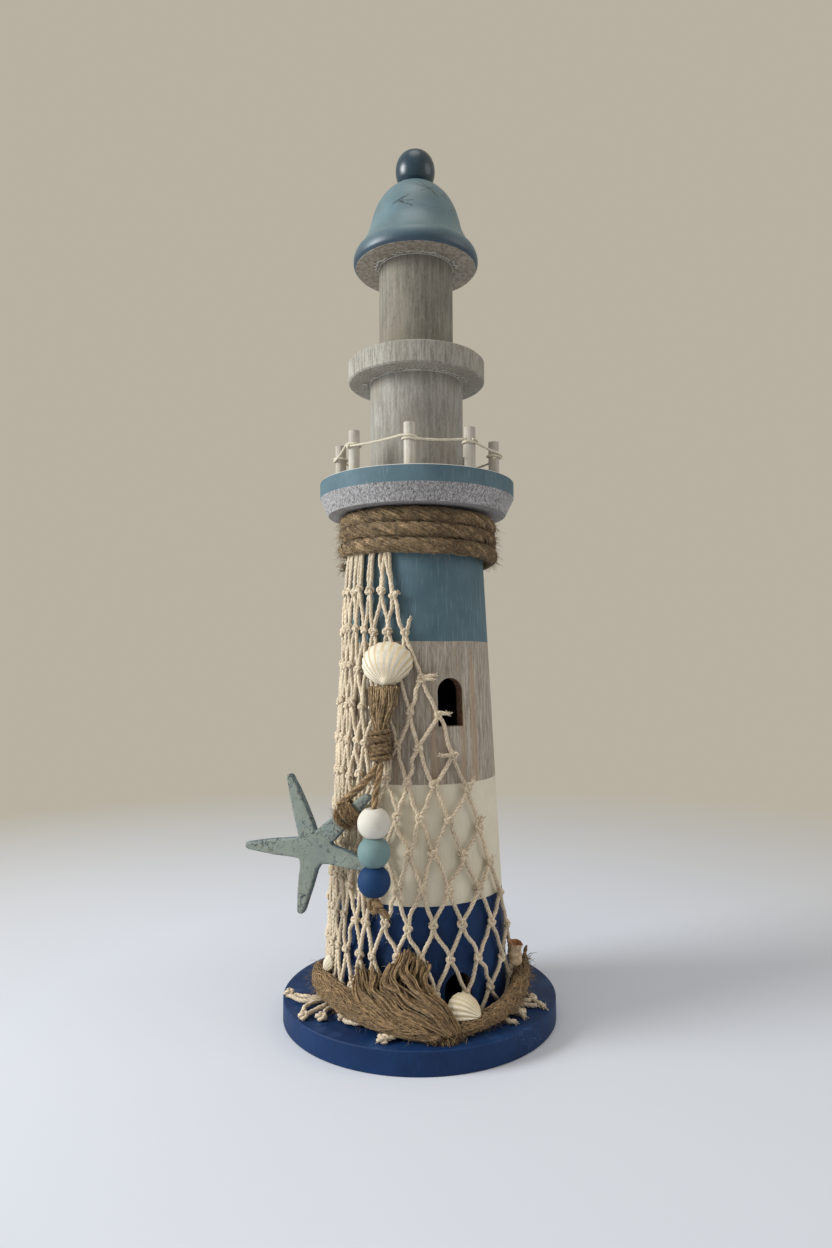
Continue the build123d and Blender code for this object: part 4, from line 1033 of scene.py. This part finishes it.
def build_fan():
    """Locks of yarn that spring from free ends at the tower and wave down to a tuft on the plate.

    Each guide is a line from the top to the tip: bearing, radius and height."""
    guides = np.array([
        [(-58.8, 54.5, 26.0), (-52.5, 57.6, 22.5), (-41.5, 61.0, 18.2), (-29.0, 65.2, 15.2), (-19.0, 69.3, 13.4)],
        [(-60.5, 54.2, 32.5), (-54.5, 57.8, 25.5), (-43.0, 61.6, 20.6), (-29.0, 65.6, 17.0), (-17.8, 69.6, 14.2)],
        [(-57.5, 54.0, 38.5), (-53.0, 57.8, 30.8), (-41.5, 61.9, 24.6), (-27.5, 65.8, 19.4), (-16.6, 69.6, 15.0)],
        [(-50.0, 54.0, 38.5), (-47.5, 57.8, 31.8), (-37.0, 62.2, 26.6), (-24.5, 66.0, 21.0), (-15.4, 69.4, 15.4)],
        [(-42.5, 53.6, 37.5), (-41.0, 57.6, 32.2), (-32.0, 62.4, 29.0), (-20.5, 66.2, 22.8), (-13.6, 69.0, 15.6)],
        [(-34.0, 53.4, 47.0), (-37.0, 57.4, 38.4), (-30.0, 62.2, 31.6), (-17.0, 66.2, 24.0), (-12.2, 68.6, 15.6)],
        [(-27.0, 53.2, 47.0), (-30.0, 56.6, 39.6), (-23.5, 61.2, 32.6), (-13.6, 65.0, 23.4), (-10.6, 68.0, 15.2)],
        [(-20.4, 52.8, 42.5), (-21.6, 55.2, 37.2), (-16.4, 59.2, 30.4), (-10.6, 63.4, 21.0), (-8.8, 66.8, 14.6)]])
    steps = 36
    t = np.linspace(0, 1, steps)
    fan = Strands(33)
    rng = fan.rng
    lanes = spline(np.swapaxes(around(*np.moveaxis(guides, -1, 0)), 0, 1), 121)

    def lock(q, sink, count, wide, size, rise):
        """Strands of one lock, at share q of the fan's width and sink millimetres under its face."""
        middle = spline(lanes[:, int(round(q * 120))], steps)
        outward = unit(middle * LEVEL) * 0.8 + UP * 0.6
        u, v, _ = rope_frame(middle, unit(outward))
        sway = waves(rng, (2,), steps, 3.2)
        middle = middle + v * (sway[0] * 2.3 * np.sin(pi * t) ** 0.6)[:, None] + u * (sway[1] * 0.9 - sink)[:, None]
        turn = rng.uniform(0, tau, (count, 1)) + rng.choice([-1, 1]) * 2.4 * t + waves(rng, (count,), steps, 2.5) * 0.6
        spread = np.sqrt(rng.uniform(0.05, 1, (count, 1))) * wide * (1 - 0.45 * t) * (1 + 0.25 * np.exp(-t * 9))
        path = middle + (np.cos(turn) * spread)[..., None] * v + (np.sin(turn) * spread * 0.8)[..., None] * u
        path[..., 2] += rng.uniform(-1.0, rise, (count, 1)) * np.exp(-t * 14)
        path[..., 2] = np.maximum(path[..., 2], BASE_TOP + size)
        fan.add(path, size * rng.uniform(0.7, 1.25, (count, 1)), sides=5)
        return path

    paths = [lock(q, 0.9 - 1.8 * (n % 2), 8, 2.1, 0.68, 2.6) for n, q in enumerate(np.linspace(0.02, 0.98, 12))]
    paths += [lock(q, 2.8, 6, 2.6, 0.6, 0.5) for q in np.linspace(0.05, 0.95, 9)]
    paths += [lock(q, -1.0, 2, 2.8, 0.45, 3.8) for q in np.linspace(0.04, 0.96, 12)]
    paths = np.concatenate(paths)
    loose_hairs(fan, paths, 380, 4.5, 0, 0.3)
    tops = paths[rng.integers(0, len(paths), 150), 0]
    hairs(fan, rng, tops, UP * 0.9 + unit(tops * LEVEL) * 0.5, np.cross(UP, unit(tops)), 3.6, 0.16, 0.1)
    tip = around(rng.normal(-13.5, 3.2, 210), rng.uniform(65.5, 70.0, 210), rng.uniform(12.5, 15.8, 210))
    hairs(fan, rng, tip, unit(tip * LEVEL) * 0.5 + around(-12.0, 0.4, -0.2), np.cross(UP, unit(tip)), 4.2, 0.2, 0.5)
    fan.build("fan_yarns", jute, "garland_fan")
    build_fan_shade_sheet(spline(lanes[:, ::12], 24))


def build_fan_shade_sheet(back):
    """A dark sheet of painted shade behind the locks, closed round its edge."""
    columns, rows = back.shape[:2]
    inward = unit(back * LEVEL)
    sides = [back - inward * deep - UP * sunk for deep, sunk in ((2.6, 1.4), (4.2, 1.6))]
    points = np.concatenate(sides).reshape(-1, 3)
    points[:, 2] = np.maximum(points[:, 2], BASE_TOP + 0.3)
    quad = grid(columns, rows, False, False)
    number, half = np.arange(rows * columns).reshape(columns, rows), rows * columns
    loop = [*number[0], *number[1:, -1], *number[-1, -2::-1], *number[-2:0:-1, 0]]
    edge = [(a, b, half + b, half + a) for a, b in zip(loop, loop[1:] + loop[:1])]
    mesh = make_mesh("fan_shade_sheet", points, quad[:, ::-1].tolist() + (quad + half).tolist() + edge, smooth=0)
    place("fan_shade_sheet", mesh, shade_jute)


# ---- Sea shells
def build_cockle(name, node, origin, axes, width, height, rise, ribs, lean, finish):
    """A ribbed valve with an oval margin. The beak is at origin, and its back swells outward.

    axes are directions to the right, up from the beak to the far margin, and out. lean moves the oval's middle
    to the right of the beak, in millimetres."""
    nu, nv, wall = ribs * 8 + 1, 40, 0.9
    u, v = np.meshgrid(np.linspace(-1, 1, nu), np.linspace(0, 1, nv), indexing="ij")
    margin = 1 + 0.014 * np.cos(u * ribs * pi)
    below = height * 0.06
    a, b = width / 2, (height - below) / 2
    rim_x = lean + a * np.sin(u * radians(160)) * margin
    rim_y = below + b + b * np.cos(u * radians(160)) * margin
    bow = v * (1 - v) * 4
    x = rim_x * v ** 0.94 + bow * (0.045 * width * np.sin(u * pi) + 0.25 * lean)
    y = rim_y * v + bow * height * 0.02 * np.cos(u * pi)
    rho = np.sqrt(((x - lean) / a) ** 2 + ((y - below - b * 0.94) / (b * 1.06)) ** 2)
    lift = rise * np.maximum(1 - rho ** 2, 0) ** 0.72 + rise * 0.42 * np.exp(-(x ** 2 + (y - 1.2) ** 2) / 9.0)
    lift += 0.34 * np.cos(u * ribs * pi) * np.clip(v * 2.2, 0, 1) * (0.45 + 0.55 * v) * (1 - 0.35 * np.abs(u) ** 3)
    lift += 0.09 * np.sin(v * 52 + 1.2 * np.sin(3 * u)) * v
    inner = np.stack([x * 0.97, y * 0.98 + height * 0.01, lift - wall * (0.35 + 0.65 * np.clip(v * 6, 0, 1))], -1)
    points = origin + np.concatenate([np.stack([x, y, lift], -1), inner]).reshape(-1, 3) @ axes
    quad, half = grid(nu, nv, False, False)[:, [0, 3, 2, 1]], nu * nv
    rim = [(half + i, half + i + nv, i + nv, i) for i in range(nv - 1, half - nv, nv)]
    low = [(j + 1, j, half + j, half + j + 1) for j in range(nv - 1)]
    last = (nu - 1) * nv
    high = [(last + j, last + j + 1, half + last + j + 1, half + last + j) for j in range(nv - 1)]
    uv = np.tile(np.stack([u.reshape(-1) * ribs / 2, v.reshape(-1)], -1), (2, 1))
    mesh = make_mesh(name, points, quad.tolist() + (quad[:, ::-1] + half).tolist() + rim + low + high, uv)
    place(name, mesh, finish, node)


def tilted(bearing, lean, turn):
    """Axes of a plane that faces a bearing, leans back and is turned in itself."""
    right, up, out = facing(bearing)
    up = up * cos(radians(lean)) - out * sin(radians(lean))
    a = radians(turn)
    right, up = right * cos(a) + up * sin(a), up * cos(a) - right * sin(a)
    return np.array([right, up, np.cross(right, up)])


def build_shells():
    net_face = tower_radius(180.7) + GAP + 2 * CORD_R + 0.9
    build_cockle("scallop", "net_shell", hanging(0.4, 180.6, net_face), tilted(PENDANT, 2.8, 0),
                 28.5, 23.3, 7.0, 16, -1.1, cream_shell)
    build_cockle("front_cockle", "front_shell", around(4.6, 61.2, 17.4), tilted(1, 27, 70),
                 17, 18, 4.8, 15, 2.0, warm_shell)
    build_cockle("rear_cockle", "rear_shell", around(-90, 53.0, 29.2), tilted(-90, 4, 0),
                 8.6, 8.6, 2.6, 12, 0.3, cream_shell)


def build_whelk():
    """A small whorled shell that stands on its point, its mouth up."""
    low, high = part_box("whelk_shell")
    centre, foot, length = (low + high) / 2 * 1000, low.z * 1000, (high.z - low.z) * 1000
    profile = [(0.05, 0.0), (0.55, 0.02), (0.78, 0.12), (0.80, 0.26), (0.66, 0.38), (0.72, 0.48), (0.66, 0.60),
               (0.70, 0.74), (0.84, 0.88), (1.0, 1.0), (0.93, 1.01), (0.76, 0.90), (0.58, 0.72), (0.42, 0.58),
               (0.15, 0.46), (0.02, 0.44)]
    lip, sides = 10, 40  # from the lip on, the profile goes down inside
    r, h = np.array(profile).T[..., None]
    a = tau * np.arange(sides) / sides
    wide = 4.35 * r * (1 + 0.05 * np.sin(a * 2 + h * 5)) + 0.12 * np.sin(a * 9) * (0.3 + h) * r
    shift = 0.9 * h * h
    level = foot + length * h * (1 - 0.06 * (1 + np.cos(a + 0.8)) * (h > 0.85)) + 0.3 * np.sin(a * 3) * h
    points = np.stack([centre.x + wide * np.cos(a) - 0.6 * shift, centre.y + wide * np.sin(a) - 0.5 * shift, level], -1)
    mark = np.where(np.arange(len(profile))[:, None] >= lip, 1.5, h * 0.9)
    uv = np.stack(np.broadcast_arrays(np.arange(sides) / sides, mark), -1).reshape(-1, 2)
    faces = grid(len(profile), sides).tolist() + lids(len(profile), sides)
    mesh = make_mesh("whelk", points.reshape(-1, 3), faces, uv)
    piece = place("whelk", mesh, whelk_finish(), "whelk_shell")
    smooth = piece.modifiers.new("round", "SUBSURF")
    smooth.levels = smooth.render_levels = 1
    apply_modifiers(piece)


# ---- Glue threads at the joints
def build_glue():
    """Broken threads of dried glue under the roof and the ring, round the drums."""
    rng = np.random.default_rng(51)
    threads = Strands(51)
    for radius, level, size, count in ((21.6, ROOF_BOTTOM - 0.2, 0.30, 11), (26.9, RING_BOTTOM - 0.2, 0.26, 8)):
        for n in range(count):
            first = -115 + 200 * n / count + rng.uniform(-6, 6)
            b = np.linspace(first, first + rng.uniform(12, 30), 30)
            away = rng.uniform(0.4, 1.0) + np.abs(wave(rng, 30, 4)) * rng.uniform(0.6, 4.5)
            threads.add(around(b, radius + away, level), size * rng.uniform(0.5, 1.1))
    b = np.linspace(0, 360, 200, endpoint=False)
    for radius, level in ((21.25, ROOF_BOTTOM - 0.25), (26.55, RING_BOTTOM - 0.25)):
        threads.add(around(b, radius + np.abs(wave(rng, 200, 16)) * 0.3, level), 0.22, closed=True)
    threads.build("glue_line", glue_finish(), slot=None)


build_net()
build_collar()
build_rail_string()
build_roof()
build_tassel()
build_whipping()
build_star()
build_star_cord()
build_bead_cord()
build_garland()
build_fan()
build_tails()
build_shells()
build_whelk()
build_glue()

# ---- Floor, lights and camera
BACKDROP = (184, 177, 162)
half_floor = 6000
corners = np.array([(-1, -1, 0), (1, -1, 0), (1, 1, 0), (-1, 1, 0)]) * half_floor
mesh = make_mesh("floor", corners, [(0, 1, 2, 3)], smooth=0)
floor = bpy.data.objects.new("floor", mesh)
bpy.context.scene.collection.objects.link(floor)
f = Finish("floor_finish", 0.9, Specular_IOR_Level=0.1)
f.feed(f.shader.inputs["Base Color"], f.mix(f.noise(3, 2), (205, 208, 215), (212, 214, 219)))
# Far from the part the floor shows the backdrop's even colour, and stays a plain floor for the light
far = f.ramp(f.radius(), (0.22, 0.0), (0.80, 1.0)) * f.on_background()
even = f.made("ShaderNodeEmission", {"Color": BACKDROP})
f.blend(far, Value(f, f.shader.outputs["BSDF"]), even, "Material Output")
mesh.materials.append(f.material)

world = bpy.data.worlds.new("studio")
world.use_nodes = True
sky = Nodes(world.node_tree)
light = sky.tree.nodes["Background"]
light.inputs["Color"].default_value = (0.98, 0.98, 0.98, 1)
light.inputs["Strength"].default_value = 0.42
even = sky.made("ShaderNodeBackground", {"Color": BACKDROP})
sky.blend(sky.on_background(), Value(sky, light.outputs[0]), even, "World Output")
bpy.context.scene.world = world


def lamp(name, spot, aim, size, power, colour):
    data = bpy.data.lights.new(name, "AREA")
    data.shape, data.size, data.energy, data.color = "DISK", size, power, colour
    made = bpy.data.objects.new(name, data)
    made.location = spot
    made.rotation_euler = (Vector(aim) - Vector(spot)).to_track_quat("-Z", "Y").to_euler()
    bpy.context.scene.collection.objects.link(made)


lamp("window_left", (-1.42, 0.22, 0.8), (0, 0, 0.27), 0.7, 27, (0.94, 0.98, 1.0))
lamp("soft_right", (1.0, -0.8, 0.7), (0, 0, 0.22), 0.9, 3.5, (1.0, 0.98, 0.94))
lamp("overhead", (-0.2, -0.3, 1.6), (0, 0, 0.1), 0.8, 4, (1.0, 0.99, 0.96))

camera = bpy.data.cameras.new("camera")
camera.sensor_width, camera.lens = 36.0, 23.62
camera.dof.use_dof = False
view = bpy.data.objects.new("camera", camera)
bpy.context.scene.collection.objects.link(view)
azimuth, pitch, roll_angle = radians(24.5), radians(2.569), radians(-0.293)
look = Vector((sin(azimuth) * cos(pitch), cos(azimuth) * cos(pitch), sin(pitch)))
view.rotation_euler = (look.to_track_quat("-Z", "Y").to_matrix() @ Matrix.Rotation(roll_angle, 3, "Z")).to_euler()
view.location = (-0.19365, -0.4228, 0.1939)
bpy.context.scene.camera = view
bpy.context.scene.view_settings.view_transform = "Standard"
